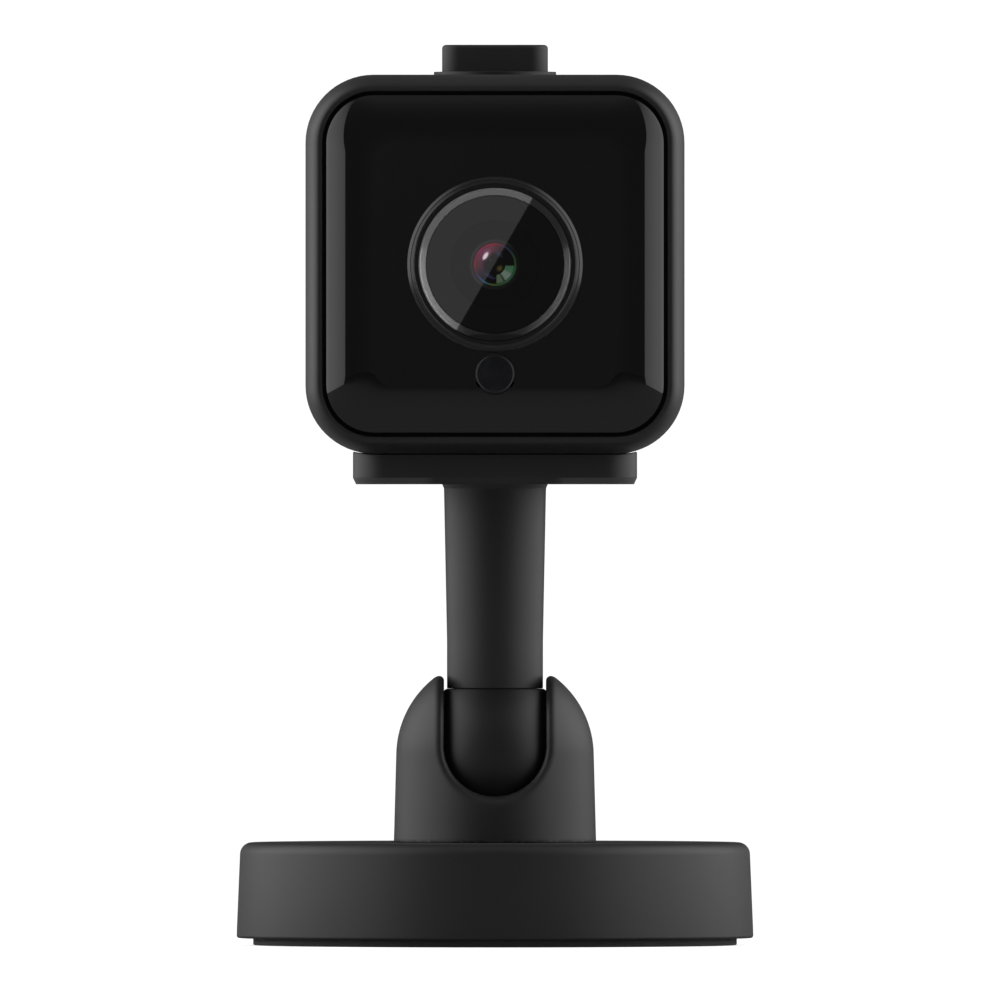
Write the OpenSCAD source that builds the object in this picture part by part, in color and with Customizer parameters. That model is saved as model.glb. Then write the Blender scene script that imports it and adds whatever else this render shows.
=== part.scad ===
// Desk security camera: a small cube camera on a slotted ball joint and a round weighted base.
// Frame: origin at the bottom centre of the foot pad, +Z up, the lens looks along -Y, millimetres.

/* [Base] */
// Radius of the base at its lower edge
base_r = 34.2; // [33:0.1:38]
// Radius of the base just under its top edge
base_top_r = 33.67; // [32:0.01:33.9]
// Height of the top face of the base above the table
base_top_z = 13.60; // [13.4:0.01:14.2]
// Radius of the round foot pad
pad_r = 32.0; // [28:0.1:32.5]
// Thickness of the foot pad below the base
pad_t = 0.93; // [0.8:0.01:1.2]

/* [Ball joint] */
// Radius of the ball
ball_r = 11.0; // [10.8:0.05:11.1]
// Height of the centre of the ball above the table
ball_z = 25.0; // [24.9:0.05:25.2]
// Radial gap between the ball and its socket
ball_gap = 0.08; // [0.04:0.01:0.12]
// Radius of the domed top of the socket
dome_r = 13.09; // [12.9:0.01:13.3]
// Half width of the slot that the arm swings in
slot_half = 6.65; // [6.55:0.01:6.8]
// Height of the lowest point of the slot
slot_floor_z = 19.79; // [19.6:0.01:20]

/* [Arm] */
// Radius of the arm at the ball
stem_low_r = 6.35; // [6.2:0.01:6.4]
// Radius of the arm under the head plate
stem_top_r = 6.77; // [6.5:0.01:7.5]
// Height of the underside of the head plate
plate_z = 60.95; // [60:0.05:61.3]
// Width and depth of the head plate
plate_w = 37.5; // [34:0.1:42]
// Corner radius of the head plate, seen from above
plate_corner = 4.4; // [3:0.1:6]

/* [Camera body] */
// Width of the camera body
body_w = 50.0; // [49:0.1:52]
// Height of the camera body
body_h = 50.0; // [49:0.01:52]
// Height of the underside of the camera body
body_z = 64.97; // [64.9:0.01:66]
// Depth of the camera body from its front rim to its back
body_d = 48.0; // [47:0.5:50]
// Corner radius of the camera body, seen from the front
body_corner = 9.0; // [8:0.1:10]
// Wall thickness of the camera body
wall = 2.0; // [1.6:0.1:2.2]

/* [Front panel and lens] */
// Width of the glossy front panel
panel_w = 44.43; // [44:0.01:44.8]
// Height of the glossy front panel
panel_h = 44.43; // [44:0.01:44.8]
// Height of the lens axis
lens_z = 89.9; // [89.9:0.1:90.3]
// Outer radius of the raised ring round the lens
bezel_r = 11.56; // [11.2:0.01:11.6]
// Radius of the lens cover glass
glass_r = 10.12; // [9.9:0.01:10.3]
// Inner radius of the chamfered ring under the edge of the glass
ring_r = 9.13; // [8.95:0.01:9.3]
// Radius of the light sensor window
eye_r = 2.77; // [2.5:0.01:2.8]
// Height of the light sensor window
eye_z = 75.48; // [75:0.01:75.48]

/* [Top button] */
// Width of the top button
button_w = 14.0; // [12:0.1:14]
// Depth of the top button, front to back
button_d = 9.0; // [7:0.1:9]
// Height of the top of the button above the camera body
button_rise = 4.08; // [3:0.01:5]
// Travel of the top button
button_travel = 1.0; // [0.6:0.1:1]

/* [Hidden] */
$fn = 96;
e = 0.02;

cam_z = body_z + body_h / 2;
yf = -body_d / 2;              // front rim of the body
yb = body_d / 2;               // back of the body
split_y = yb - 4;              // joint between housing and rear cover
wall_y = yf + 4;               // front face of the inner front wall
panel_y = yf - 2.2;            // flat front of the panel
yoke_foot_r = 13.36;
ball_flat_z = ball_z + 8.93;   // top of the ball, where the arm sits
post_x = 18.5;                 // screw posts of the body
black = "#1b1b1c";
board_green = "#1f4a2e";
steel = "#a9abad";

// Rounded rectangle made of squares and circles.
module rr(w, h, r) {
    square([w - 2 * r, h], center = true);
    square([w, h - 2 * r], center = true);
    for (sx = [-1, 1], sy = [-1, 1]) translate([sx * (w / 2 - r), sy * (h / 2 - r)]) circle(r);
}
// Rounded prism upright, from z to z + t.
module prism_z(w, d, r, z, t) translate([0, 0, z]) linear_extrude(t) rr(w, d, r);
// Rounded prism that runs front to back, from y to y + t, centred at height cz.
module prism_y(w, h, r, y, t, cz = cam_z)
    translate([0, y + t, cz]) rotate([90, 0, 0]) linear_extrude(t) rr(w, h, r);
// Cylinder that runs front to back, from y to y + t.
module rod_y(r, y, t, x = 0, z = lens_z) translate([x, y + t, z]) rotate([90, 0, 0]) cylinder(r = r, h = t);
// Solid of revolution about a front to back axis; profile x is the radius and profile y runs forward.
module spin_y(z = lens_z, y = 0, x = 0) translate([x, y, z]) rotate([90, 0, 0]) rotate_extrude() children();
// Pan head screw pointing up, head below z.
module screw_up(r, len, hr, hh) {
    cylinder(r = r, h = len);
    translate([0, 0, -hh]) difference() {
        cylinder(r = hr, h = hh);
        translate([0, 0, -e]) cylinder(r = hr * 0.42, h = hh * 0.6, $fn = 6);
    }
}
module four(x, z) for (sx = [-1, 1], sz = [-1, 1]) translate([sx * x, 0, sz * z]) children();

// ---------- base ----------
module base_pad() color("#262627") cylinder(r = pad_r, h = pad_t);

module base_shell() color(black) difference() {
    union() {
        difference() {
            rotate_extrude() polygon(concat(
                [[0, pad_t], [base_r, pad_t], [base_top_r, base_top_z - 1.6]],
                [for (a = [15:15:90]) [base_top_r - 1.6 + 1.6 * cos(a), base_top_z - 1.6 + 1.6 * sin(a)]],
                [[0, base_top_z]]));
            translate([0, 0, pad_t - e]) cylinder(r = 31.9, h = base_top_z - 3 - pad_t + e);
        }
        for (a = [45:90:315]) rotate(a) translate([24, 0, 2.93]) cylinder(r = 3, h = base_top_z - 5.9);
    }
    cylinder(r = 12.3, h = 30);
    for (a = [45:90:315]) rotate(a) translate([24, 0, 0]) cylinder(r = 0.9, h = 9.4);
    for (a = [30:120:270]) rotate(a) translate([15.2, 0, 0]) cylinder(r = 0.9, h = 12.9);
}
module base_bottom_cover() color("#202021") difference() {
    translate([0, 0, pad_t]) cylinder(r = 31.7, h = 2);
    for (a = [45:90:315]) rotate(a) translate([24, 0, 0]) { cylinder(r = 1.15, h = 6); cylinder(r = 2.3, h = pad_t + 1.2); }
}
module ballast_ring() color("#6d6f72") difference() {
    translate([0, 0, 2.93]) cylinder(r = 30, h = 6.5);
    cylinder(r = 18.4, h = 20);
    for (a = [45:90:315]) rotate(a) translate([24, 0, 0]) cylinder(r = 3.3, h = 20);
}
module base_screws() color(steel)
    for (a = [45:90:315]) rotate(a) translate([24, 0, pad_t + 1.2]) screw_up(0.9, 6.8, 2.2, 1.2);

// ---------- ball joint ----------
module socket_yoke() color(black) difference() {
    union() {
        rotate_extrude() polygon(concat(
            [[0, base_top_z - 5], [17.5, base_top_z - 5], [17.5, base_top_z - 3], [12.2, base_top_z - 3],
             [12.2, base_top_z], [yoke_foot_r, base_top_z], [13.0, ball_z + 1.2]],
            [for (a = [8:4:88]) [dome_r * cos(a), ball_z + 0.05 + dome_r * sin(a)]],
            [[0, ball_z + 0.05 + dome_r]]));
    }
    // bore for the ball, open below
    translate([0, 0, base_top_z - 6]) cylinder(r = ball_r + ball_gap, h = ball_z - base_top_z + 6);
    translate([0, 0, ball_z]) sphere(r = ball_r + ball_gap, $fn = 128);
    // slot through from front to back, round at the bottom
    translate([0, 20, slot_floor_z + slot_half]) rotate([90, 0, 0]) cylinder(r = slot_half, h = 40);
    translate([-slot_half, -20, slot_floor_z + slot_half]) cube([2 * slot_half, 40, 20]);
    // blunt tips
    translate([-20, -20, 35.6]) cube([40, 40, 10]);
    for (a = [30:120:270]) rotate(a) translate([15.2, 0, 0]) cylinder(r = 1.15, h = base_top_z - 2.5);
}
module yoke_screws() color(steel)
    for (a = [30:120:270]) rotate(a) translate([15.2, 0, base_top_z - 5]) screw_up(0.9, 4.0, 1.9, 1.4);
module socket_plug() color("#2a2a2b") {
    difference() {
        union() {
            translate([0, 0, base_top_z - 6.5]) cylinder(r = 12.6, h = 1.5);
            translate([0, 0, base_top_z - 5]) cylinder(r = 11.0, h = 1.2);
        }
        for (a = [0:90:270]) rotate(a) translate([8, 0, 0]) cylinder(r = 1.2, h = 8.4);
    }
}
module socket_spring() color(steel) // two dished spring washers, face to face
    rotate_extrude() polygon([[5, base_top_z - 3.8], [5.8, base_top_z - 3.8], [10.4, base_top_z - 3.3], [10.4, base_top_z - 3.1],
        [5.8, base_top_z - 2.6], [5, base_top_z - 2.6], [9.2, base_top_z - 3.2]]);
module ball_cup() color("#d8d8d2") difference() {
    translate([0, 0, base_top_z - 2.6]) cylinder(r = 11.0, h = 6.6);
    translate([0, 0, ball_z]) sphere(r = ball_r + ball_gap, $fn = 128);
}
module joint_ball() color("#151516") difference() {
    translate([0, 0, ball_z]) sphere(r = ball_r, $fn = 128);
    translate([-20, -20, ball_flat_z]) cube([40, 40, 20]);
    cylinder(r = 2.5, h = 50);
    cylinder(r = 4.3, h = ball_z - 6);
}
module pivot_bolt() color(steel) {
    translate([0, 0, ball_z - 6]) cylinder(r = 2.5, h = 23.4);
    difference() {
        translate([0, 0, ball_z - 9.2]) cylinder(r = 4.2, h = 3.2);
        translate([0, 0, ball_z - 9.3]) cylinder(r = 2.3, h = 2.2, $fn = 6);
    }
}
module friction_washer() color("#c9b27a") difference() {
    translate([0, 0, ball_flat_z + 3.55]) cylinder(r = 4.3, h = 0.9);
    cylinder(r = 2.5, h = 60);
}
module pivot_nut() color(steel) difference() {
    translate([0, 0, ball_flat_z + 4.45]) cylinder(r = 4.4, h = 3.4, $fn = 6);
    cylinder(r = 2.5, h = 60);
}

// ---------- arm ----------
module stem() color(black) difference() {
    rotate_extrude() polygon([[0, ball_flat_z], [stem_low_r, ball_flat_z], [stem_low_r, 40.2],
        [stem_top_r, plate_z], [0, plate_z]]);
    cylinder(r = 2.55, h = 45);
    translate([0, 0, ball_flat_z + 3.5]) cylinder(r = 4.7, h = 14.5);
    for (a = [90:120:330]) rotate(a) translate([4.3, 0, plate_z - 7]) cylinder(r = 0.9, h = 10);
}
module stem_screws() color(steel)
    for (a = [90:120:330]) rotate(a) translate([4.3, 0, plate_z + 2.3]) rotate([180, 0, 0]) screw_up(0.9, 8.3, 1.9, 1.4);
module head_plate() color(black) difference() {
    hull() {
        prism_z(plate_w - 0.8, plate_w - 0.8, plate_corner - 0.4, plate_z, e, $fn = 48);
        prism_z(plate_w, plate_w, plate_corner, plate_z + 0.85, body_z - plate_z - 0.85 - 0.35, $fn = 48);
        prism_z(plate_w - 0.7, plate_w - 0.7, plate_corner - 0.35, body_z - e, e, $fn = 48);
    }
    for (a = [90:120:330]) rotate(a) translate([4.3, 0, plate_z - 1]) cylinder(r = 1.0, h = 10);
    for (a = [90:120:330]) rotate(a) translate([4.3, 0, plate_z + 2.3]) cylinder(r = 2.1, h = 10);
    for (x = [-13, 13], y = [-13, 13]) translate([x, y, plate_z - 1]) { cylinder(r = 1.4, h = 10); cylinder(r = 2.5, h = 2.6); }
}
module mount_screws() color(steel)
    for (x = [-13, 13], y = [-13, 13]) translate([x, y, plate_z + 1.6]) screw_up(1.25, 6.6, 2.3, 1.5);
module mount_inserts() color("#b98e45") difference() {
    for (x = [-13, 13], y = [-13, 13]) translate([x, y, body_z + 0.4]) cylinder(r = 2, h = 4.2);
    for (x = [-13, 13], y = [-13, 13]) translate([x, y, 0]) cylinder(r = 1.25, h = 80);
}

// ---------- camera body ----------
module camera_housing() color(black) difference() {
    union() {
        difference() {
            hull() {
                prism_y(body_w - 3.7, body_h - 3.7, body_corner - 1.85, yf, e, $fn = 64);
                prism_y(body_w - 2.43, body_h - 2.43, body_corner - 1.22, yf + 0.39, e, $fn = 64);
                prism_y(body_w - 1.08, body_h - 1.08, body_corner - 0.54, yf + 1.88, e, $fn = 64);
                prism_y(body_w, body_h, body_corner, yf + 6.0, body_d - 10.0, $fn = 64);
            }
            // rebate for the front panel
            prism_y(panel_w + 1.04, panel_h + 1.04, 6.8, yf - 1, 5);
            // inside
            prism_y(body_w - 2 * wall, body_h - 2 * wall, body_corner - wall, wall_y + 1.5, body_d);
        }
        // posts for the case screws and for the sensor board
        four(post_x, post_x) rod_y(3, wall_y + 1, 26, 0, cam_z);
        four(12.5, 12.5) rod_y(2, wall_y + 1, 12, 0, lens_z);
        // bosses for the mounting inserts
        for (x = [-13, 13], y = [-13, 13]) translate([x, y, body_z + 1]) cylinder(r = 3, h = 4.2);
        // ribs under the button board
        for (s = [-1, 1]) translate([s * 11.2 - 0.6, -6, body_z + body_h - 8]) cube([1.2, 12, 7.4]);
    }
    rod_y(7.5, wall_y - 1, 5);
    translate([12, wall_y - 1, cam_z - 2]) cube([4, 5, 4]);
    four(post_x, post_x) rod_y(0.9, wall_y + 17, 20, 0, cam_z);
    four(12.5, 12.5) rod_y(0.75, wall_y + 6, 20, 0, lens_z);
    for (x = [-13, 13], y = [-13, 13]) translate([x, y, body_z - 1]) { cylinder(r = 1.4, h = 6.9); translate([0, 0, 1.4]) cylinder(r = 2, h = 4.2); }
    // well for the top button
    prism_z(button_w + 0.2, button_d + 0.2, 1.95, body_z + body_h - 4, 8);
}
module rear_cover() color(black) {
    difference() {
        union() {
            difference() {
                hull() {
                    prism_y(body_w, body_h, body_corner, split_y, 1.4, $fn = 64);
                    prism_y(body_w - 1.5, body_h - 1.5, body_corner - 0.75, yb - 0.8, e, $fn = 64);
                    prism_y(body_w - 5.2, body_h - 5.2, body_corner - 2.6, yb - e, e, $fn = 64);
                }
                prism_y(body_w - 2 * wall - 1, body_h - 2 * wall - 1, body_corner - wall - 0.5, split_y - 1, 3);
            }
            four(post_x, post_x) rod_y(3, wall_y + 28.2, 14.3, 0, cam_z);
        }
        four(post_x, post_x) { rod_y(1.15, wall_y + 20, 30, 0, cam_z); rod_y(2.1, wall_y + 31.8, 20, 0, cam_z); }
        // sound holes
        for (i = [-3:3], j = [-3:3]) let (x = (i + 0.5 * (abs(j) % 2)) * 2.2, z = j * 1.9)
            if (norm([x, z]) < 6.8) rod_y(0.6, yb - 4, 6, x, 97 + z);
        rod_y(0.5, yb - 4, 6, 14, 82);
        // openings for the plug, the card and the reset pin
        translate([-8, 0, 0]) prism_y(9.2, 3.4, 1.2, yb - 4, 6, body_z + 8.0);
        translate([9.2, 0, 0]) prism_y(11.4, 1.6, 0.7, yb - 4, 6, body_z + 7.3);
        rod_y(1.56, yb - 4, 6, 0, body_z + 8.8);
    }
}
module housing_screws() color(steel)
    four(post_x, post_x) translate([0, wall_y + 31.8, cam_z]) rotate([90, 0, 0]) screw_up(0.9, 13.5, 2.0, 1.4);

// ---------- front panel and lens ----------
module panel_gasket() color("#3b3b3d") difference() {
    prism_y(panel_w - 1, panel_h - 1, 5.8, wall_y - 0.8, 0.8);
    prism_y(38.6, 38.6, 3.5, wall_y - 2, 4);
}
module front_panel() color("#060607") difference() {
    hull() {
        prism_y(panel_w, panel_h, 6.3, panel_y + 2.07, 3.33, $fn = 64);
        prism_y(panel_w - 2.2, panel_h - 2.2, 5.9, panel_y + 1.37, e, $fn = 64);
        prism_y(panel_w - 6, panel_h - 6, 5.4, panel_y + 0.54, e, $fn = 64);
        prism_y(panel_w - 12, panel_h - 12, 4.8, panel_y, e, $fn = 64);
    }
    prism_y(38.6, 38.6, 3.5, yf - 0.2, 6);
    rod_y(10.6, panel_y - 1, 5);
    rod_y(bezel_r + 0.02, panel_y - 1, 1.8);
    rod_y(eye_r + 0.02, panel_y - 1, 5, 0, eye_z);
}
module lens_bezel() color("#0b0b0c")
    spin_y() polygon(concat([[10.6, -panel_y - 0.8], [bezel_r, -panel_y - 0.8]],
        [for (a = [0:30:180]) [(10.6 + bezel_r) / 2 + (bezel_r - 10.6) / 2 * cos(a), -panel_y + 0.1 + (bezel_r - 10.6) / 2 * sin(a)]]));
module lens_trim_ring() color("#55565a")
    spin_y() polygon([[ring_r, -panel_y - 2.1], [glass_r, -panel_y - 2.1], [glass_r, -panel_y - 0.85], [glass_r - 0.07, -panel_y - 0.85],
        [ring_r, -panel_y - 1.8]]);
module lens_window() color([0.2, 0.2, 0.22, 0.5])
    rod_y(glass_r, panel_y + 0.05, 0.8);
module lens_baffle() color("#101011")
    spin_y() polygon([[9.5, -wall_y], [10.5, -wall_y], [10.5, -panel_y - 2.1], [8.9, -panel_y - 2.1], [6.4, -wall_y + 1.7], [6.2, -wall_y + 1.3], [9.5, -wall_y + 1]]);
module lens_barrel() color("#141415")
    spin_y() polygon([[3.6, -wall_y - 11], [5.87, -wall_y - 11], [5.87, -wall_y + 2.6], [5.6, -wall_y + 2.8], [3.17, -wall_y + 2.4],
        [2.83, -wall_y + 1.6], [2.83, -wall_y - 0.6], [3.6, -wall_y - 0.6]]);
module front_element() color([0.35, 0.12, 0.3, 0.9])
    spin_y() polygon(concat([[0, -wall_y - 0.6], [2.83, -wall_y - 0.6], [2.83, -wall_y + 1.2]],
        [for (t = [3:-1:0]) [2.83 * t / 4, -wall_y + 1.2 + 0.9 * (1 - pow(t / 4, 2))]]));
module rear_elements() color([0.3, 0.4, 0.5, 0.6]) for (y = [3, 7.2]) rod_y(3.6, wall_y + y, 1.6);
module lens_holder() color("#18181a") difference() {
    translate([-8, wall_y + 5, lens_z - 8]) cube([16, 8, 16]);
    rod_y(5.87, wall_y + 4, 7);
    rod_y(3.4, wall_y + 4, 8);
    translate([-4, wall_y + 11.4, lens_z - 4]) cube([8, 3, 8]);
}
module infrared_filter() color([0.6, 0.75, 0.8, 0.6]) translate([-3.7, wall_y + 11.4, lens_z - 3.7]) cube([7.4, 0.5, 7.4]);
module image_sensor() color("#30343a") translate([-3.4, wall_y + 12.1, lens_z - 2.8]) cube([6.8, 0.9, 5.6]);
module sensor_board() color(board_green) difference() {
    translate([-15.5, wall_y + 13, lens_z - 15.5]) cube([31, 1.2, 31]);
    four(12.5, 12.5) rod_y(1.1, wall_y + 12, 4, 0, lens_z);
}
module sensor_board_screws() color(steel)
    four(12.5, 12.5) translate([0, wall_y + 14.2, lens_z]) rotate([90, 0, 0]) screw_up(0.75, 7.4, 1.6, 1.1);
module led_board() color("#e9e9e6") difference() {
    prism_y(37.6, 37.6, 3, wall_y - 0.8, 0.8);
    rod_y(11, wall_y - 2, 4);
}
module infrared_leds() color("#e8e6da") for (a = [-32, 12, 52, 90, 128, 168, 212])
    rod_y(1.6, wall_y - 2.3, 1.5, 14.6 * cos(a), lens_z + 14.6 * sin(a));
module light_sensor() color("#d9d2b0") translate([-1.1, wall_y - 1.9, eye_z - 1.1]) cube([2.2, 1.1, 2.2]);
module light_sensor_window() color("#0c0d14") rod_y(eye_r, panel_y - 0.03, 2.03, 0, eye_z);

// ---------- electronics ----------
module main_board() color(board_green) difference() {
    prism_y(43.6, 43.2, 5.4, wall_y + 27, 1.2);
    four(post_x, post_x) rod_y(1.2, wall_y + 26, 4, 0, cam_z);
}
module shield_can() color("#c3c5c7") translate([-9, wall_y + 25, cam_z - 7]) cube([18, 2, 15]);
module heat_sink() color("#b9bbbd") {
    translate([-13, wall_y + 28.2, cam_z + 3]) cube([26, 1.6, 16]);
    for (i = [0:5]) translate([-13 + i * 5, wall_y + 29.8, cam_z + 3]) cube([1, 1.8, 16]);
}
module flex_cable() color("#c98a3a") difference() {
    translate([-15, wall_y + 14.2, cam_z - 6]) cube([4.6, 12.8, 8]);
    translate([-14.7, wall_y + 14.5, cam_z - 7]) cube([5, 12.2, 10]);
}
module wifi_antenna() color("#2f2f31") translate([body_w / 2 - wall - 0.4, wall_y + 6, cam_z - 9]) cube([0.4, 8, 22]);
module speaker() color("#2b2b2d") difference() {
    union() {
        rod_y(9, wall_y + 39, 2.6, 0, 97);
        rod_y(5, wall_y + 35.1, 4.4, 0, 97);
    }
    rod_y(7.6, wall_y + 40.6, 2, 0, 97);
}
module speaker_cloth() color("#111112") rod_y(9, wall_y + 41.6, 0.4, 0, 97);
module microphone() color("#c9cacc") rod_y(2, wall_y + 39.8, 2.2, 14, 82);
module io_board() color(board_green) translate([-15, wall_y + 28.4, body_z + 5.2]) cube([30, 13.2, 1.2]);
module usb_port() color("#b4b6b9") translate([-8, 0, 0]) difference() {
    prism_y(8.9, 3.2, 1.1, wall_y + 35.5, 7.6, body_z + 8.0);
    prism_y(8.3, 2.6, 0.9, wall_y + 37, 8, body_z + 8.0);
}
module card_socket() color("#b4b6b9") difference() {
    translate([3.4, wall_y + 29, body_z + 6.4]) cube([11.6, 12.8, 1.8]);
    translate([3.7, wall_y + 30, body_z + 6.8]) cube([11, 13, 1.0]);
}
module reset_switch() color("#222224") {
    translate([-2, wall_y + 35, body_z + 6.4]) cube([4, 3.4, 3.8]);
    rod_y(1, wall_y + 38.4, 1.4, 0, body_z + 8.8);
}
module reset_button() color("#3a3a3c") {
    rod_y(1.5, wall_y + 40.4, 3.9, 0, body_z + 8.8);
    rod_y(2.3, wall_y + 40.4, 1.4, 0, body_z + 8.8);
}

// ---------- top button ----------
module button_flange() color(black) difference() {
    translate([0, 0, body_z + body_h]) cylinder(r = 8.08, h = 0.53);
    prism_z(button_w + 0.2, button_d + 0.2, 1.95, body_z + body_h - 1, 4);
}
module top_button() color("#171718") {
    hull() {
        prism_z(button_w, button_d, 1.85, body_z + body_h - 2.1, button_rise + 1.4, $fn = 48);
        prism_z(button_w - 0.4, button_d - 0.4, 1.65, body_z + body_h + button_rise - 0.22, e, $fn = 48);
        prism_z(button_w - 1.3, button_d - 1.3, 1.2, body_z + body_h + button_rise - e, e, $fn = 48);
    }
    prism_z(button_w + 1.6, button_d + 1.6, 2.2, body_z + body_h - 2.95, 0.9);
}
module button_board() color(board_green) translate([-11.8, -5.5, body_z + body_h - 9.2]) cube([23.6, 11, 1.2]);
module tact_switch() color("#2b2b2d") {
    translate([-3, -3, body_z + body_h - 8]) cube([6, 6, 3.2]);
    translate([0, 0, body_z + body_h - 4.8]) cylinder(r = 1.7, h = 0.75);
}

base_pad();
base_shell();
base_bottom_cover();
ballast_ring();
base_screws();
socket_yoke();
yoke_screws();
socket_plug();
socket_spring();
ball_cup();
joint_ball();
pivot_bolt();
friction_washer();
pivot_nut();
stem();
stem_screws();
head_plate();
mount_screws();
mount_inserts();
camera_housing();
rear_cover();
housing_screws();
panel_gasket();
front_panel();
lens_bezel();
lens_trim_ring();
lens_window();
lens_baffle();
lens_barrel();
front_element();
rear_elements();
lens_holder();
infrared_filter();
image_sensor();
sensor_board();
sensor_board_screws();
led_board();
infrared_leds();
light_sensor();
light_sensor_window();
main_board();
shield_can();
heat_sink();
flex_cable();
wifi_antenna();
speaker();
speaker_cloth();
microphone();
io_board();
usb_port();
card_socket();
reset_switch();
reset_button();
button_flange();
top_button();
button_board();
tact_switch();
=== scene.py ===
import math

import bmesh
import bpy
import numpy as np
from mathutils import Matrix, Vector


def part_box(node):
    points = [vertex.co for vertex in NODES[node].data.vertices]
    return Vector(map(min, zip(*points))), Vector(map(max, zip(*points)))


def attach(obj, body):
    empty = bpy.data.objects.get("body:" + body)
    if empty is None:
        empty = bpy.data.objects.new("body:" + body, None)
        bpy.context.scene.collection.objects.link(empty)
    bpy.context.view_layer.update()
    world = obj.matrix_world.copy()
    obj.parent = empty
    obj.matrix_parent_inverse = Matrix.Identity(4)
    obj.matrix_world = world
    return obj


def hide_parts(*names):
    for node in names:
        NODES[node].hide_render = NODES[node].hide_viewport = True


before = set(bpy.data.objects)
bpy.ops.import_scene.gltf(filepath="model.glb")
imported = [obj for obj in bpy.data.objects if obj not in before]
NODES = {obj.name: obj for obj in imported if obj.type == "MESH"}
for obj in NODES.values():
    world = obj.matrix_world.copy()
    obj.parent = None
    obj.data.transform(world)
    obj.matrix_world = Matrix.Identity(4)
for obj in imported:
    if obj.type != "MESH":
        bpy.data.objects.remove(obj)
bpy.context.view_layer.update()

scene = bpy.context.scene


# ------------------------------------------------------------------ numbers from the frame, in millimetres
def box(node):
    lo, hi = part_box(node)
    return np.array(lo) * 1000, np.array(hi) * 1000


H_LO, H_HI = box("camera_housing")
R_LO, R_HI = box("rear_cover")
P_LO, P_HI = box("front_panel")
BODY_W = H_HI[0] - H_LO[0]
BODY_H = H_HI[2] - H_LO[2]
CZ = (H_HI[2] + H_LO[2]) / 2
YF = H_LO[1]                      # front rim
SPLIT = R_HI[1] - 4               # seam of the rear cover
YB = R_HI[1]                      # back face
PANEL_W = P_HI[0] - P_LO[0]
PANEL_H = P_HI[2] - P_LO[2]
PANEL_CZ = (P_HI[2] + P_LO[2]) / 2
PANEL_Y = P_LO[1]                 # flat front of the panel
B_LO, B_HI = box("lens_bezel")
LZ = (B_HI[2] + B_LO[2]) / 2      # lens axis
BEZEL_R = (B_HI[0] - B_LO[0]) / 2
W_LO, W_HI = box("lens_window")
GLASS_R = (W_HI[0] - W_LO[0]) / 2
E_LO, E_HI = box("light_sensor_window")
EYE_R = (E_HI[0] - E_LO[0]) / 2 + 0.02
EYE_Z = (E_HI[2] + E_LO[2]) / 2 + 0.02
BASE_LO, BASE_HI = box("base_shell")
BASE_R = (BASE_HI[0] - BASE_LO[0]) / 2
BASE_TOP = BASE_HI[2]
PAD_T = BASE_LO[2]
PADR = (box("base_pad")[1][0] - box("base_pad")[0][0]) / 2
S_LO, S_HI = box("stem")
STEM_Z0, STEM_Z1 = S_LO[2], S_HI[2]
BALL_Z = 25.0
BALL_R = 11.0
PL_LO, PL_HI = box("head_plate")
PLATE_W = PL_HI[0] - PL_LO[0]
T_LO, T_HI = box("top_button")
F_LO, F_HI = box("button_flange")
FLANGE_R = (F_HI[0] - F_LO[0]) / 2
K_LO, K_HI = box("reset_button")
RESET_Z = (K_HI[2] + K_LO[2]) / 2


# ------------------------------------------------------------------ mesh helpers
def arc(cx, cy, r, a0, a1, n):
    return [
        (cx + r * math.cos(math.radians(a0 + (a1 - a0) * i / n)), cy + r * math.sin(math.radians(a0 + (a1 - a0) * i / n)))
        for i in range(n + 1)
    ]


def rounded(points, closed=False, n=6):
    """A polyline with its corners rounded: each point is (x, y) or (x, y, radius)."""
    out = []
    m = len(points)
    for i, p in enumerate(points):
        r = p[2] if len(p) > 2 else 0
        if r <= 0 or (not closed and i in (0, m - 1)):
            out.append((p[0], p[1]))
            continue
        a = np.array(points[i - 1][:2], float)
        b = np.array(p[:2], float)
        c = np.array(points[(i + 1) % m][:2], float)
        u = (a - b) / np.linalg.norm(a - b)
        v = (c - b) / np.linalg.norm(c - b)
        half = math.acos(max(-1, min(1, float(u @ v)))) / 2
        t = r / math.tan(half)
        mid = (u + v) / np.linalg.norm(u + v)
        centre = b + mid * (r / math.sin(half))
        p0, p1 = b + u * t - centre, b + v * t - centre
        a0 = math.atan2(p0[1], p0[0])
        a1 = math.atan2(p1[1], p1[0])
        d = (a1 - a0 + math.pi) % (2 * math.pi) - math.pi
        for k in range(n + 1):
            w = a0 + d * k / n
            out.append((centre[0] + r * math.cos(w), centre[1] + r * math.sin(w)))
    return out


def flat_edge(e, sharp):
    """True where shading must break: a real corner, or the rim of a dead flat face."""
    if len(e.link_faces) != 2:
        return True
    angle = math.degrees(e.calc_face_angle(0))
    if angle >= sharp:
        return True
    a, b = (max(abs(c) for c in f.normal) > 0.999999 for f in e.link_faces)
    return angle > 1.0 and a != b


def build(name, verts, faces, sharp=32.0, recalc=True, flats=False):
    """A mesh object from vertices in millimetres, smooth except at edges sharper than `sharp` degrees."""
    me = bpy.data.meshes.new(name)
    me.from_pydata([tuple(float(c) / 1000 for c in v) for v in verts], [], [tuple(f) for f in faces])
    bm = bmesh.new()
    bm.from_mesh(me)
    bmesh.ops.remove_doubles(bm, verts=bm.verts, dist=1e-7)
    if recalc:
        bmesh.ops.recalc_face_normals(bm, faces=bm.faces)
    for f in bm.faces:
        f.smooth = True
    for e in bm.edges:
        if flats:
            e.smooth = not flat_edge(e, sharp)
        else:
            e.smooth = len(e.link_faces) == 2 and math.degrees(e.calc_face_angle(0)) < sharp
    bm.to_mesh(me)
    bm.free()
    ob = bpy.data.objects.new(name, me)
    scene.collection.objects.link(ob)
    return ob


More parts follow.
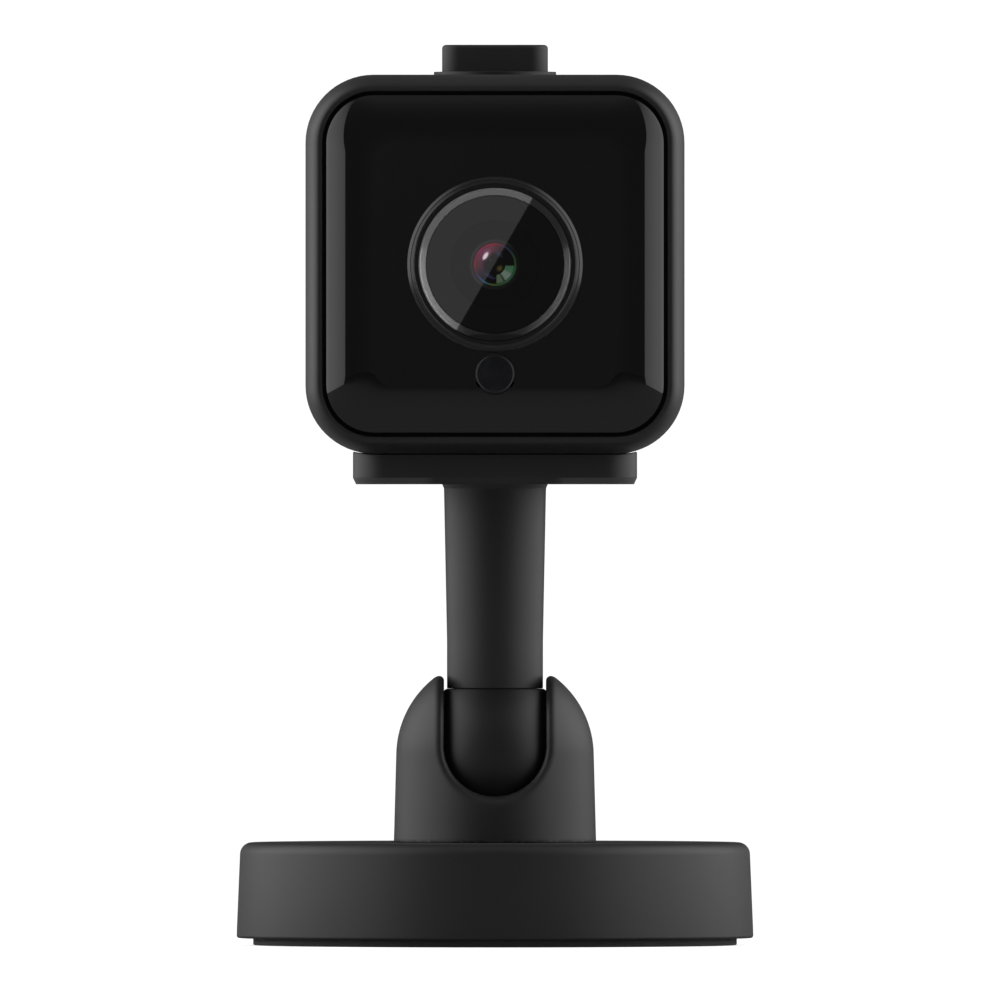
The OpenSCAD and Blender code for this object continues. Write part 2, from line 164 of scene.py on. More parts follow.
def resharp(ob, sharp=32.0):
    bm = bmesh.new()
    bm.from_mesh(ob.data)
    for f in bm.faces:
        f.smooth = True
    for e in bm.edges:
        e.smooth = len(e.link_faces) == 2 and math.degrees(e.calc_face_angle(0)) < sharp
    bm.to_mesh(ob.data)
    bm.free()
    return ob


def rr_ring(w, h, r, nc=12):
    """Points round a rounded rectangle, the same count for every size."""
    pts = []
    for cx, cy, a in ((w / 2 - r, h / 2 - r, 0), (-w / 2 + r, h / 2 - r, 90), (-w / 2 + r, -h / 2 + r, 180), (w / 2 - r, -h / 2 + r, 270)):
        pts += arc(cx, cy, r, a, a + 90, nc)
    return pts


def skin(rings, closed=False, cap0=True, cap1=True):
    """Quads between rings with the same count; ends capped with one face each."""
    n = len(rings[0])
    verts = [p for r in rings for p in r]
    faces = []
    m = len(rings)
    for k in range(m if closed else m - 1):
        a, b = k * n, ((k + 1) % m) * n
        for i in range(n):
            j = (i + 1) % n
            faces.append((a + i, a + j, b + j, b + i))
    if not closed:
        if cap0:
            faces.append(tuple(range(n)))
        if cap1:
            faces.append(tuple((m - 1) * n + i for i in range(n)))
    return verts, faces


def loft_y(name, rows, closed=False, nc=12, sharp=32.0, cap0=True, cap1=True):
    """rows of (width, height, corner radius, y, centre z)."""
    rings = [[(x, y, cz + z) for x, z in rr_ring(w, h, r, nc)] for w, h, r, y, cz in rows]
    v, f = skin(rings, closed, cap0, cap1)
    return build(name, v, f, sharp)


def loft_z(name, rows, closed=False, nc=12, sharp=32.0):
    """rows of (width, depth, corner radius, z)."""
    rings = [[(x, y, z) for x, y in rr_ring(w, d, r, nc)] for w, d, r, z in rows]
    v, f = skin(rings, closed)
    return build(name, v, f, sharp)


def lathe(name, profile, axis="z", cx=0.0, cz=0.0, n=144, closed=True, sharp=32.0):
    """Turns (radius, height) about Z, or about a front to back line where height runs towards -Y."""
    verts, faces, rows = [], [], []
    for r, h in profile:
        if r < 1e-6:
            rows.append([len(verts)] * n)
            verts.append((cx, -h, cz) if axis == "y" else (cx, 0, h))
            continue
        row = []
        for i in range(n):
            a = 2 * math.pi * i / n
            row.append(len(verts))
            c, s = r * math.cos(a), r * math.sin(a)
            verts.append((cx + c, -h, cz + s) if axis == "y" else (cx + c, s, h))
        rows.append(row)
    m = len(rows)
    for k in range(m if closed else m - 1):
        a, b = rows[k], rows[(k + 1) % m]
        for i in range(n):
            j = (i + 1) % n
            q = [a[i], a[j], b[j], b[i]]
            q = [v for t, v in enumerate(q) if v not in q[:t]]
            if len(q) >= 3:
                faces.append(tuple(q))
    return build(name, verts, faces, sharp)


def cut(ob, cutter, sharp=32.0):
    """Exact boolean difference, applied."""
    mod = ob.modifiers.new("cut", "BOOLEAN")
    mod.operation = "DIFFERENCE"
    mod.solver = "EXACT"
    mod.object = cutter
    dg = bpy.context.evaluated_depsgraph_get()
    me = bpy.data.meshes.new_from_object(ob.evaluated_get(dg))
    ob.modifiers.clear()
    old = ob.data
    ob.data = me
    bpy.data.meshes.remove(old)
    bpy.data.objects.remove(cutter)
    return resharp(ob, sharp)


def join_verts(parts):
    verts, faces = [], []
    for v, f in parts:
        k = len(verts)
        verts += list(v)
        faces += [tuple(i + k for i in q) for q in f]
    return verts, faces


def rod(cx, cz, r, y0, y1, n=24):
    ring = [(cx + r * math.cos(2 * math.pi * i / n), cz + r * math.sin(2 * math.pi * i / n)) for i in range(n)]
    return skin([[(x, y, z) for x, z in ring] for y in (y0, y1)])


def put(ob, body, slot, mat, *replaces):
    ob.data.materials.clear()
    ob.data.materials.append(mat)
    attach(ob, body)
    if replaces:
        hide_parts(*replaces)
    return ob


# ------------------------------------------------------------------ materials
def material(name):
    m = bpy.data.materials.new(name)
    m.use_nodes = True
    nt = m.node_tree
    return m, nt, nt.nodes["Principled BSDF"]


def add(nt, kind, **values):
    n = nt.nodes.new(kind)
    for k, v in values.items():
        setattr(n, k, v)
    return n


def noise(nt, coords, scale, detail=2.0, rough=0.5):
    n = add(nt, "ShaderNodeTexNoise")
    n.inputs["Scale"].default_value = scale
    n.inputs["Detail"].default_value = detail
    n.inputs["Roughness"].default_value = rough
    nt.links.new(coords, n.inputs["Vector"])
    return n.outputs["Fac"]


def spread(nt, fac, lo, hi, a=0.3, b=0.7):
    n = add(nt, "ShaderNodeMapRange")
    n.inputs["From Min"].default_value = a
    n.inputs["From Max"].default_value = b
    n.inputs["To Min"].default_value = lo
    n.inputs["To Max"].default_value = hi
    nt.links.new(fac, n.inputs["Value"])
    return n.outputs["Result"]


def shade(nt, fac, a, b, p0=0.3, p1=0.7):
    n = add(nt, "ShaderNodeValToRGB")
    n.color_ramp.elements[0].position = p0
    n.color_ramp.elements[1].position = p1
    n.color_ramp.elements[0].color = (*a, 1)
    n.color_ramp.elements[1].color = (*b, 1)
    nt.links.new(fac, n.inputs["Fac"])
    return n.outputs["Color"]


def plastic(name, dark, light, rough=(0.42, 0.5), grain=9000.0, bump=0.05, depth=0.00004, ior=1.5, level=0.5, metal=0.0, coat=0.0):
    """Moulded plastic: a slow drift of tone, a fine spark eroded grain, and gloss that follows both."""
    m, nt, b = material(name)
    co = add(nt, "ShaderNodeTexCoord").outputs["Object"]
    slow = noise(nt, co, 55.0, 3.0, 0.55)
    fine = noise(nt, co, grain, 2.0, 0.6)
    nt.links.new(shade(nt, slow, dark, light), b.inputs["Base Color"])
    mix = add(nt, "ShaderNodeMath", operation="MULTIPLY_ADD")
    nt.links.new(fine, mix.inputs[0])
    mix.inputs[1].default_value = 0.45
    nt.links.new(slow, mix.inputs[2])
    nt.links.new(spread(nt, mix.outputs[0], rough[0], rough[1], 0.45, 0.95), b.inputs["Roughness"])
    if bump > 0:
        bn = add(nt, "ShaderNodeBump")
        bn.inputs["Strength"].default_value = bump
        bn.inputs["Distance"].default_value = depth
        nt.links.new(fine, bn.inputs["Height"])
        nt.links.new(bn.outputs["Normal"], b.inputs["Normal"])
    b.inputs["IOR"].default_value = ior
    b.inputs["Specular IOR Level"].default_value = level
    b.inputs["Metallic"].default_value = metal
    b.inputs["Coat Weight"].default_value = coat
    return m


MATTE = plastic("matte_black", (0.0065, 0.0065, 0.0067), (0.0090, 0.0090, 0.0093), (0.49, 0.54))
BALL = plastic("ball_black", (0.005, 0.005, 0.0052), (0.007, 0.007, 0.0072), (0.43, 0.49), grain=5000, bump=0.02)
BUTTON = plastic("button_black", (0.007, 0.007, 0.0072), (0.009, 0.009, 0.0092), (0.56, 0.62), grain=9000, bump=0.03)
GLOSS = plastic("gloss_black", (0.0026, 0.0026, 0.0028), (0.0034, 0.0034, 0.0037), (0.018, 0.028), grain=600, bump=0.0, ior=1.5)
SATIN = plastic("satin_ring", (0.006, 0.006, 0.0062), (0.008, 0.008, 0.0082), (0.24, 0.28), grain=6000, bump=0.01)
BAFFLE = plastic("baffle_black", (0.0012, 0.0012, 0.0013), (0.0018, 0.0018, 0.0019), (0.50, 0.60), grain=5000, bump=0.02, level=0.12)
DARK = plastic("dark_plastic", (0.004, 0.004, 0.0043), (0.006, 0.006, 0.0063), (0.55, 0.62), grain=5000, bump=0.03)
RUBBER = plastic("foot_rubber", (0.095, 0.095, 0.097), (0.115, 0.115, 0.118), (0.70, 0.80), grain=4200, bump=0.18, depth=0.00008, level=0.05)
STEEL = plastic("screw_steel", (0.40, 0.40, 0.41), (0.52, 0.52, 0.53), (0.26, 0.36), grain=2600, bump=0.03, metal=1.0)
BLACKSTEEL = plastic("black_steel", (0.035, 0.035, 0.036), (0.05, 0.05, 0.052), (0.30, 0.40), grain=3200, bump=0.03, metal=1.0)
IRON = plastic("ballast_iron", (0.10, 0.10, 0.105), (0.17, 0.17, 0.175), (0.5, 0.65), grain=1400, bump=0.3, depth=0.0001, metal=1.0)
BRASS = plastic("brass", (0.55, 0.38, 0.15), (0.66, 0.47, 0.21), (0.25, 0.35), grain=2600, bump=0.03, metal=1.0)
NYLON = plastic("white_nylon", (0.60, 0.60, 0.57), (0.70, 0.70, 0.67), (0.40, 0.50), grain=2600, bump=0.03)
FOAM = plastic("foam_gasket", (0.020, 0.020, 0.0205), (0.032, 0.032, 0.033), (0.8, 0.95), grain=2400, bump=0.4, depth=0.0001)
CHIP = plastic("chip_black", (0.012, 0.012, 0.013), (0.018, 0.018, 0.019), (0.45, 0.55), grain=6000, bump=0.05)
TIN = plastic("tin_plate", (0.46, 0.46, 0.47), (0.60, 0.60, 0.61), (0.22, 0.32), grain=2200, bump=0.03, metal=1.0)
ALU = plastic("sink_aluminium", (0.50, 0.51, 0.52), (0.62, 0.63, 0.64), (0.35, 0.45), grain=2400, bump=0.05, metal=1.0)
WHITEB = plastic("white_board", (0.66, 0.66, 0.64), (0.76, 0.76, 0.74), (0.35, 0.45), grain=1800, bump=0.03)
LEDM = plastic("led_clear", (0.62, 0.60, 0.50), (0.72, 0.70, 0.60), (0.08, 0.15), grain=1800, bump=0.0)
FLEX = plastic("flex_film", (0.36, 0.16, 0.04), (0.46, 0.22, 0.06), (0.25, 0.35), grain=1800, bump=0.02)


def board_material():
    """Green solder mask with a faint glass weave and a net of copper tracks under it."""
    m, nt, b = material("circuit_board")
    co = add(nt, "ShaderNodeTexCoord").outputs["Object"]
    vor = add(nt, "ShaderNodeTexVoronoi", distance="MANHATTAN", feature="DISTANCE_TO_EDGE")
    vor.inputs["Scale"].default_value = 420.0
    nt.links.new(co, vor.inputs["Vector"])
    nt.links.new(shade(nt, vor.outputs["Distance"], (0.035, 0.16, 0.06), (0.012, 0.075, 0.028), 0.03, 0.06), b.inputs["Base Color"])
    nt.links.new(spread(nt, noise(nt, co, 800.0), 0.28, 0.38), b.inputs["Roughness"])
    bn = add(nt, "ShaderNodeBump")
    bn.inputs["Strength"].default_value = 0.15
    bn.inputs["Distance"].default_value = 0.00005
    nt.links.new(vor.outputs["Distance"], bn.inputs["Height"])
    nt.links.new(bn.outputs["Normal"], b.inputs["Normal"])
    return m


BOARD = board_material()


def cloth_material():
    """Fine acoustic cloth: two crossed waves make the weave."""
    m, nt, b = material("speaker_fabric")
    co = add(nt, "ShaderNodeTexCoord").outputs["Object"]
    w1 = add(nt, "ShaderNodeTexWave", bands_direction="X")
    w2 = add(nt, "ShaderNodeTexWave", bands_direction="Z")
    for w in (w1, w2):
        w.inputs["Scale"].default_value = 900.0
        nt.links.new(co, w.inputs["Vector"])
    mul = add(nt, "ShaderNodeMath", operation="MULTIPLY")
    nt.links.new(w1.outputs["Fac"], mul.inputs[0])
    nt.links.new(w2.outputs["Fac"], mul.inputs[1])
    nt.links.new(shade(nt, mul.outputs[0], (0.004, 0.004, 0.004), (0.02, 0.02, 0.021), 0.1, 0.8), b.inputs["Base Color"])
    b.inputs["Roughness"].default_value = 0.9
    bn = add(nt, "ShaderNodeBump")
    bn.inputs["Strength"].default_value = 0.5
    bn.inputs["Distance"].default_value = 0.0001
    nt.links.new(mul.outputs[0], bn.inputs["Height"])
    nt.links.new(bn.outputs["Normal"], b.inputs["Normal"])
    return m


CLOTH = cloth_material()


def object_xz(nt, cx, cz):
    """Offsets across and up from a point on the front, in millimetres, from the piece's own coordinates."""
    co = add(nt, "ShaderNodeTexCoord").outputs["Object"]
    sep = add(nt, "ShaderNodeSeparateXYZ")
    nt.links.new(co, sep.inputs[0])

    def axis(out, c):
        n = add(nt, "ShaderNodeMath", operation="MULTIPLY_ADD")
        nt.links.new(sep.outputs[out], n.inputs[0])
        n.inputs[1].default_value = 1000.0
        n.inputs[2].default_value = -c
        return n.outputs[0]

    return axis("X", cx), axis("Z", cz)


def maths(nt, op, a, b=None, c=None):
    n = add(nt, "ShaderNodeMath", operation=op)
    for i, v in enumerate((a, b, c)):
        if v is None:
            continue
        if isinstance(v, (int, float)):
            n.inputs[i].default_value = v
        else:
            nt.links.new(v, n.inputs[i])
    return n.outputs[0]


def polar(nt, cx, cz):
    x, z = object_xz(nt, cx, cz)
    r = maths(nt, "SQRT", maths(nt, "ADD", maths(nt, "MULTIPLY", x, x), maths(nt, "MULTIPLY", z, z)))
    a = maths(nt, "ARCTAN2", z, x)
    turn = maths(nt, "FRACT", maths(nt, "ADD", maths(nt, "DIVIDE", a, 2 * math.pi), 1.0))
    return x, z, r, turn


def ramp(nt, fac, stops, interpolation="LINEAR"):
    n = add(nt, "ShaderNodeValToRGB")
    cr = n.color_ramp
    cr.interpolation = interpolation
    while len(cr.elements) > 1:
        cr.elements.remove(cr.elements[-1])
    cr.elements[0].position = stops[0][0]
    cr.elements[0].color = (*stops[0][1], 1)
    for p, c in stops[1:]:
        e = cr.elements.new(p)
        e.color = (*c, 1)
    nt.links.new(fac, n.inputs["Fac"])
    return n.outputs["Color"]


def trim_material():
    """Dark chromed ring with painted reflections: its colour is painted bright on its lower sides, where it mirrors the
    lights, dark at its top and bottom, and darker towards its outer edge.
    """
    m, nt, b = material("trim_metal")
    x, z, r, turn = polar(nt, 0, LZ)
    # painted reflections: tone set by angle round the ring, darker towards its outer edge
    tone = maths(nt, "MULTIPLY", ramp(nt, turn, [(t, (v, v, v)) for t, v in TRIM_PAINTED_REFLECTION_STOPS]), spread(nt, r, 1.0, 0.20, 9.78, 9.93))
    nt.links.new(tone, b.inputs["Base Color"])
    nt.links.new(spread(nt, noise(nt, add(nt, "ShaderNodeTexCoord").outputs["Object"], 3000.0), 0.10, 0.14), b.inputs["Roughness"])
    b.inputs["Metallic"].default_value = 1.0
    return m


TRIM_PAINTED_REFLECTION_STOPS = ((0.0, 0.56), (0.033, 0.42), (0.06, 0.05), (0.14, 0.03), (0.165, 0.004), (0.18, 0.004), (0.43, 0.004), (0.467, 0.75), (0.50, 1.0),
              (0.61, 1.0), (0.64, 0.95), (0.672, 0.4), (0.70, 0.004), (0.80, 0.02), (0.833, 0.42), (0.87, 0.52), (0.90, 0.55), (1.0, 0.56))
TRIM = trim_material()
CLEAR = 0.07                                 # the cover glass is dark smoked glass; the painted glow of the lens and barrel behind it is divided by this to show bright through it


def glass_material():
    """Smoked cover glass: what is behind shows dimly, and the polished face adds its own reflection, stronger over the coated edge."""
    m = bpy.data.materials.new("cover_glass")
    m.use_nodes = True
    nt = m.node_tree
    nt.nodes.clear()
    out = add(nt, "ShaderNodeOutputMaterial")
    clear = add(nt, "ShaderNodeBsdfTransparent")
    back = add(nt, "ShaderNodeNewGeometry").outputs["Backfacing"]
    tone = add(nt, "ShaderNodeMix", data_type="RGBA")
    px, pz, pr, pt = polar(nt, 0, LZ)
    nt.links.new(maths(nt, "MINIMUM", spread(nt, pr, CLEAR, 1.0, 9.12, 9.17), spread(nt, pr, 1.0, CLEAR, 9.85, 9.92)), tone.inputs[6])
    tone.inputs[7].default_value = (1, 1, 1, 1)
    nt.links.new(back, tone.inputs["Factor"])
    nt.links.new(tone.outputs[2], clear.inputs["Color"])
    gloss = add(nt, "ShaderNodeBsdfAnisotropic")
    gloss.inputs["Color"].default_value = (1, 1, 1, 1)
    gloss.inputs["Roughness"].default_value = 0.01
    x, z, r, t = polar(nt, 0, LZ)
    edge = spread(nt, r, 0.0, 0.09, 9.12, 9.17)
    fres = add(nt, "ShaderNodeFresnel")
    fres.inputs["IOR"].default_value = 1.5
    front = maths(nt, "SUBTRACT", 1.0, back)
    line = maths(nt, "MULTIPLY", spread(nt, r, 0.0, 0.36, 8.97, 9.03), spread(nt, r, 1.0, 0.0, 9.10, 9.15))
    ring = maths(nt, "MULTIPLY", spread(nt, r, 0.0, 0.08, 5.68, 5.76), spread(nt, r, 1.0, 0.0, 5.84, 5.92))
    dim = maths(nt, "SUBTRACT", maths(nt, "SUBTRACT", spread(nt, r, 0.93, 1.0, 5.70, 5.84), line), ring)
    share = maths(nt, "MULTIPLY", maths(nt, "MULTIPLY", maths(nt, "ADD", fres.outputs[0], edge), front), dim)
    mix = add(nt, "ShaderNodeMixShader")
    nt.links.new(share, mix.inputs[0])
    nt.links.new(clear.outputs[0], mix.inputs[1])
    nt.links.new(gloss.outputs[0], mix.inputs[2])
    nt.links.new(mix.outputs[0], out.inputs["Surface"])
    return m


GLASS = glass_material()


def times(nt, colour, factor):
    n = add(nt, "ShaderNodeVectorMath", operation="SCALE")
    if isinstance(colour, tuple):
        n.inputs[0].default_value = colour
    else:
        nt.links.new(colour, n.inputs[0])
    nt.links.new(factor, n.inputs["Scale"])
    return n.outputs[0]


def plus(nt, *colours):
    total = colours[0]
    for c in colours[1:]:
        n = add(nt, "ShaderNodeVectorMath", operation="ADD")
        nt.links.new(total, n.inputs[0])
        nt.links.new(c, n.inputs[1])
        total = n.outputs[0]
    return total


def fall(nt, value, a, b):
    """1 below a, 0 above b, smooth between (the other way round when b is the smaller)."""
    n = add(nt, "ShaderNodeMapRange", interpolation_type="SMOOTHSTEP")
    lo, hi = min(a, b), max(a, b)
    n.inputs["From Min"].default_value = lo
    n.inputs["From Max"].default_value = hi
    n.inputs["To Min"].default_value = 1.0 if a < b else 0.0
    n.inputs["To Max"].default_value = 0.0 if a < b else 1.0
    nt.links.new(value, n.inputs["Value"])
    return n.outputs["Result"]


def blob(nt, x, z, cx, cz, along, across, angle, soft=0.45):
    """A soft ellipse, 1 in the middle."""
    c, s = math.cos(math.radians(angle)), math.sin(math.radians(angle))
    dx, dz = maths(nt, "SUBTRACT", x, cx), maths(nt, "SUBTRACT", z, cz)
    u = maths(nt, "ADD", maths(nt, "MULTIPLY", dx, c / along), maths(nt, "MULTIPLY", dz, s / along))
    v = maths(nt, "ADD", maths(nt, "MULTIPLY", dx, -s / across), maths(nt, "MULTIPLY", dz, c / across))
    d = maths(nt, "SQRT", maths(nt, "ADD", maths(nt, "MULTIPLY", u, u), maths(nt, "MULTIPLY", v, v)))
    return fall(nt, d, soft, 1.0)


def element_material():
    """Coated front lens with painted reflections: an emission paints the red, violet, blue and green reflections of the
    coatings round its rim, a violet glow, a white highlight, the reflection of window panes and a few faint spots.
    """
    m, nt, b = material("coated_glass")
    x, z, r, turn = polar(nt, 0, LZ)
    q = maths(nt, "DIVIDE", r, 2.83)
    # painted reflections of the coatings, coloured by angle round the rim
    rim = ramp(nt, turn, [
        (0.00, (0.020, 0.034, 0.010)), (0.056, (0.012, 0.032, 0.014)), (0.111, (0.010, 0.018, 0.030)), (0.165, (0.014, 0.014, 0.040)),
        (0.20, (0.070, 0.006, 0.020)), (0.278, (0.190, 0.004, 0.018)), (0.333, (0.150, 0.004, 0.035)), (0.389, (0.165, 0.005, 0.048)),
        (0.444, (0.125, 0.004, 0.030)), (0.50, (0.135, 0.012, 0.014)), (0.555, (0.060, 0.008, 0.028)), (0.61, (0.018, 0.026, 0.085)),
        (0.667, (0.014, 0.060, 0.105)), (0.70, (0.022, 0.048, 0.030)), (0.722, (0.036, 0.050, 0.012)), (0.80, (0.016, 0.052, 0.018)),
        (0.86, (0.022, 0.062, 0.036)), (0.92, (0.016, 0.056, 0.026)), (0.97, (0.018, 0.050, 0.020)), (1.00, (0.020, 0.034, 0.010))])
    rim_mask = maths(nt, "MULTIPLY", fall(nt, q, 0.925, 0.885), fall(nt, q, 0.975, 1.0))
    # painted violet glow inside, on the upper left
    painted_violet_glow = ramp(nt, turn, [
        (0.0, (0, 0, 0)), (0.15, (0, 0, 0)), (0.20, (0.022, 0.006, 0.012)), (0.27, (0.085, 0.014, 0.030)), (0.36, (0.110, 0.016, 0.052)),
        (0.45, (0.085, 0.014, 0.036)), (0.52, (0.055, 0.010, 0.020)), (0.58, (0.012, 0.006, 0.016)), (0.62, (0.002, 0.004, 0.012)), (0.68, (0, 0, 0)), (1.0, (0, 0, 0))])
    painted_violet_glow_mask = maths(nt, "MULTIPLY", fall(nt, q, 0.86, 0.38), fall(nt, q, 0.85, 0.93))
    inner = maths(nt, "MULTIPLY", fall(nt, q, 0.62, 0.58), fall(nt, q, 0.64, 0.70))
    # painted reflection of window panes on the lower right, with a dark bar between them
    painted_pane_reflection = ramp(nt, turn, [
        (0.0, (0.020, 0.075, 0.035)), (0.770, (0.052, 0.080, 0.040)), (0.822, (0.046, 0.072, 0.044)), (0.829, (0.006, 0.010, 0.007)), (0.836, (0.006, 0.010, 0.007)),
        (0.842, (0.070, 0.100, 0.078)), (0.87, (0.100, 0.135, 0.112)), (0.915, (0.085, 0.118, 0.092)), (0.925, (0.034, 0.092, 0.046)), (0.98, (0.026, 0.082, 0.038)), (1.0, (0.020, 0.075, 0.035))])
    painted_pane_reflection_mask = maths(nt, "MULTIPLY", maths(nt, "MULTIPLY", fall(nt, x, 0.24, 0.19), fall(nt, z, -0.18, -0.13)),
                      maths(nt, "MULTIPLY", fall(nt, r, 1.42, 1.34), fall(nt, r, 2.46, 2.54)))
    glow = plus(
        nt,
        times(nt, rim, rim_mask),
        times(nt, painted_violet_glow, painted_violet_glow_mask),
        times(nt, (0.012, 0.004, 0.020), maths(nt, "MULTIPLY", inner, fall(nt, x, 0.1, 0.6))),
        times(nt, painted_pane_reflection, painted_pane_reflection_mask),
        # painted highlights: a white highlight upper left with its soft halo, then faint coloured spots
        times(nt, (0.50, 0.46, 0.48), blob(nt, x, z, -1.26, 1.13, 0.72, 0.33, 57)),
        times(nt, (0.075, 0.050, 0.055), blob(nt, x, z, -1.10, 1.30, 1.15, 0.62, 57, 0.1)),
        times(nt, (0.040, 0.034, 0.008), blob(nt, x, z, 0.62, -0.50, 0.62, 0.50, 45, 0.1)),
        times(nt, (0.030, 0.030, 0.050), blob(nt, x, z, -0.62, 0.58, 0.17, 0.15, 0, 0.2)),
        times(nt, (0.006, 0.014, 0.030), blob(nt, x, z, 0.55, 1.35, 0.75, 0.40, -40, 0.1)),
        times(nt, (0.003, 0.012, 0.022), blob(nt, x, z, -0.75, -1.45, 0.95, 0.35, -40, 0.1)),
    )
    # all of it is painted light, glowing as emission
    nt.links.new(glow, b.inputs["Emission Color"])
    b.inputs["Emission Strength"].default_value = 1.02 / CLEAR
    nt.links.new(ramp(nt, q, [(0.0, (0.002, 0.002, 0.004)), (1.0, (0.004, 0.003, 0.006))]), b.inputs["Base Color"])
    b.inputs["Roughness"].default_value = 0.04
    b.inputs["Specular IOR Level"].default_value = 0.12
    return m


ELEMENT = element_material()


def rear_glass_material():
    m, nt, b = material("rear_glass")
    x, z, r, turn = polar(nt, 0, LZ)
    nt.links.new(ramp(nt, maths(nt, "DIVIDE", r, 3.6), [(0.0, (0.02, 0.03, 0.05)), (0.8, (0.05, 0.02, 0.06)), (1.0, (0.02, 0.08, 0.04))]), b.inputs["Base Color"])
    b.inputs["Roughness"].default_value = 0.05
    b.inputs["Transmission Weight"].default_value = 0.6
    return m


REARGLASS = rear_glass_material()


def eye_material():
    """Smoked window with a painted highlight: a thin grey line near its edge, strongest at the left and right, where a
    lit bevel would catch the side lights.
    """
    m, nt, b = material("smoked_window")
    x, z, r, turn = polar(nt, 0, EYE_Z)
    body = ramp(nt, maths(nt, "DIVIDE", r, 3.0), [(0.0, (0.0014, 0.0017, 0.0034)), (0.84, (0.0012, 0.0014, 0.0028)), (0.865, (0.0006, 0.0006, 0.0006)), (1.0, (0.0006, 0.0006, 0.0006))])
    # painted highlight: a grey line near the edge, faint at top and bottom
    line = maths(nt, "MULTIPLY", fall(nt, r, 2.37, 2.29), fall(nt, r, 2.47, 2.55))
    line = maths(nt, "MULTIPLY", line, spread(nt, maths(nt, "DIVIDE", maths(nt, "ABSOLUTE", x, 0.0), r), 0.15, 1.0, 0.25, 0.95))
    nt.links.new(plus(nt, body, times(nt, (0.062, 0.063, 0.068), line)), b.inputs["Base Color"])
    nt.links.new(spread(nt, noise(nt, add(nt, "ShaderNodeTexCoord").outputs["Object"], 500.0), 0.04, 0.08), b.inputs["Roughness"])
    return m


EYE = eye_material()


# ------------------------------------------------------------------ base
T = BASE_TOP
put(lathe("base_body", rounded([(12.3, T - 3), (12.3, T), (33.67, T, 1.6), (BASE_R, PAD_T, 0.35), (31.9, PAD_T), (31.9, T - 3)], closed=True, n=10), n=220),
    "base", "matte_black", MATTE, "base_shell")
put(lathe("foot_pad", rounded([(0, 0), (PADR, 0, 0.22), (PADR, PAD_T, 0.1), (0, PAD_T)], n=5), n=200, closed=False),
    "base", "foot_rubber", RUBBER, "base_pad")


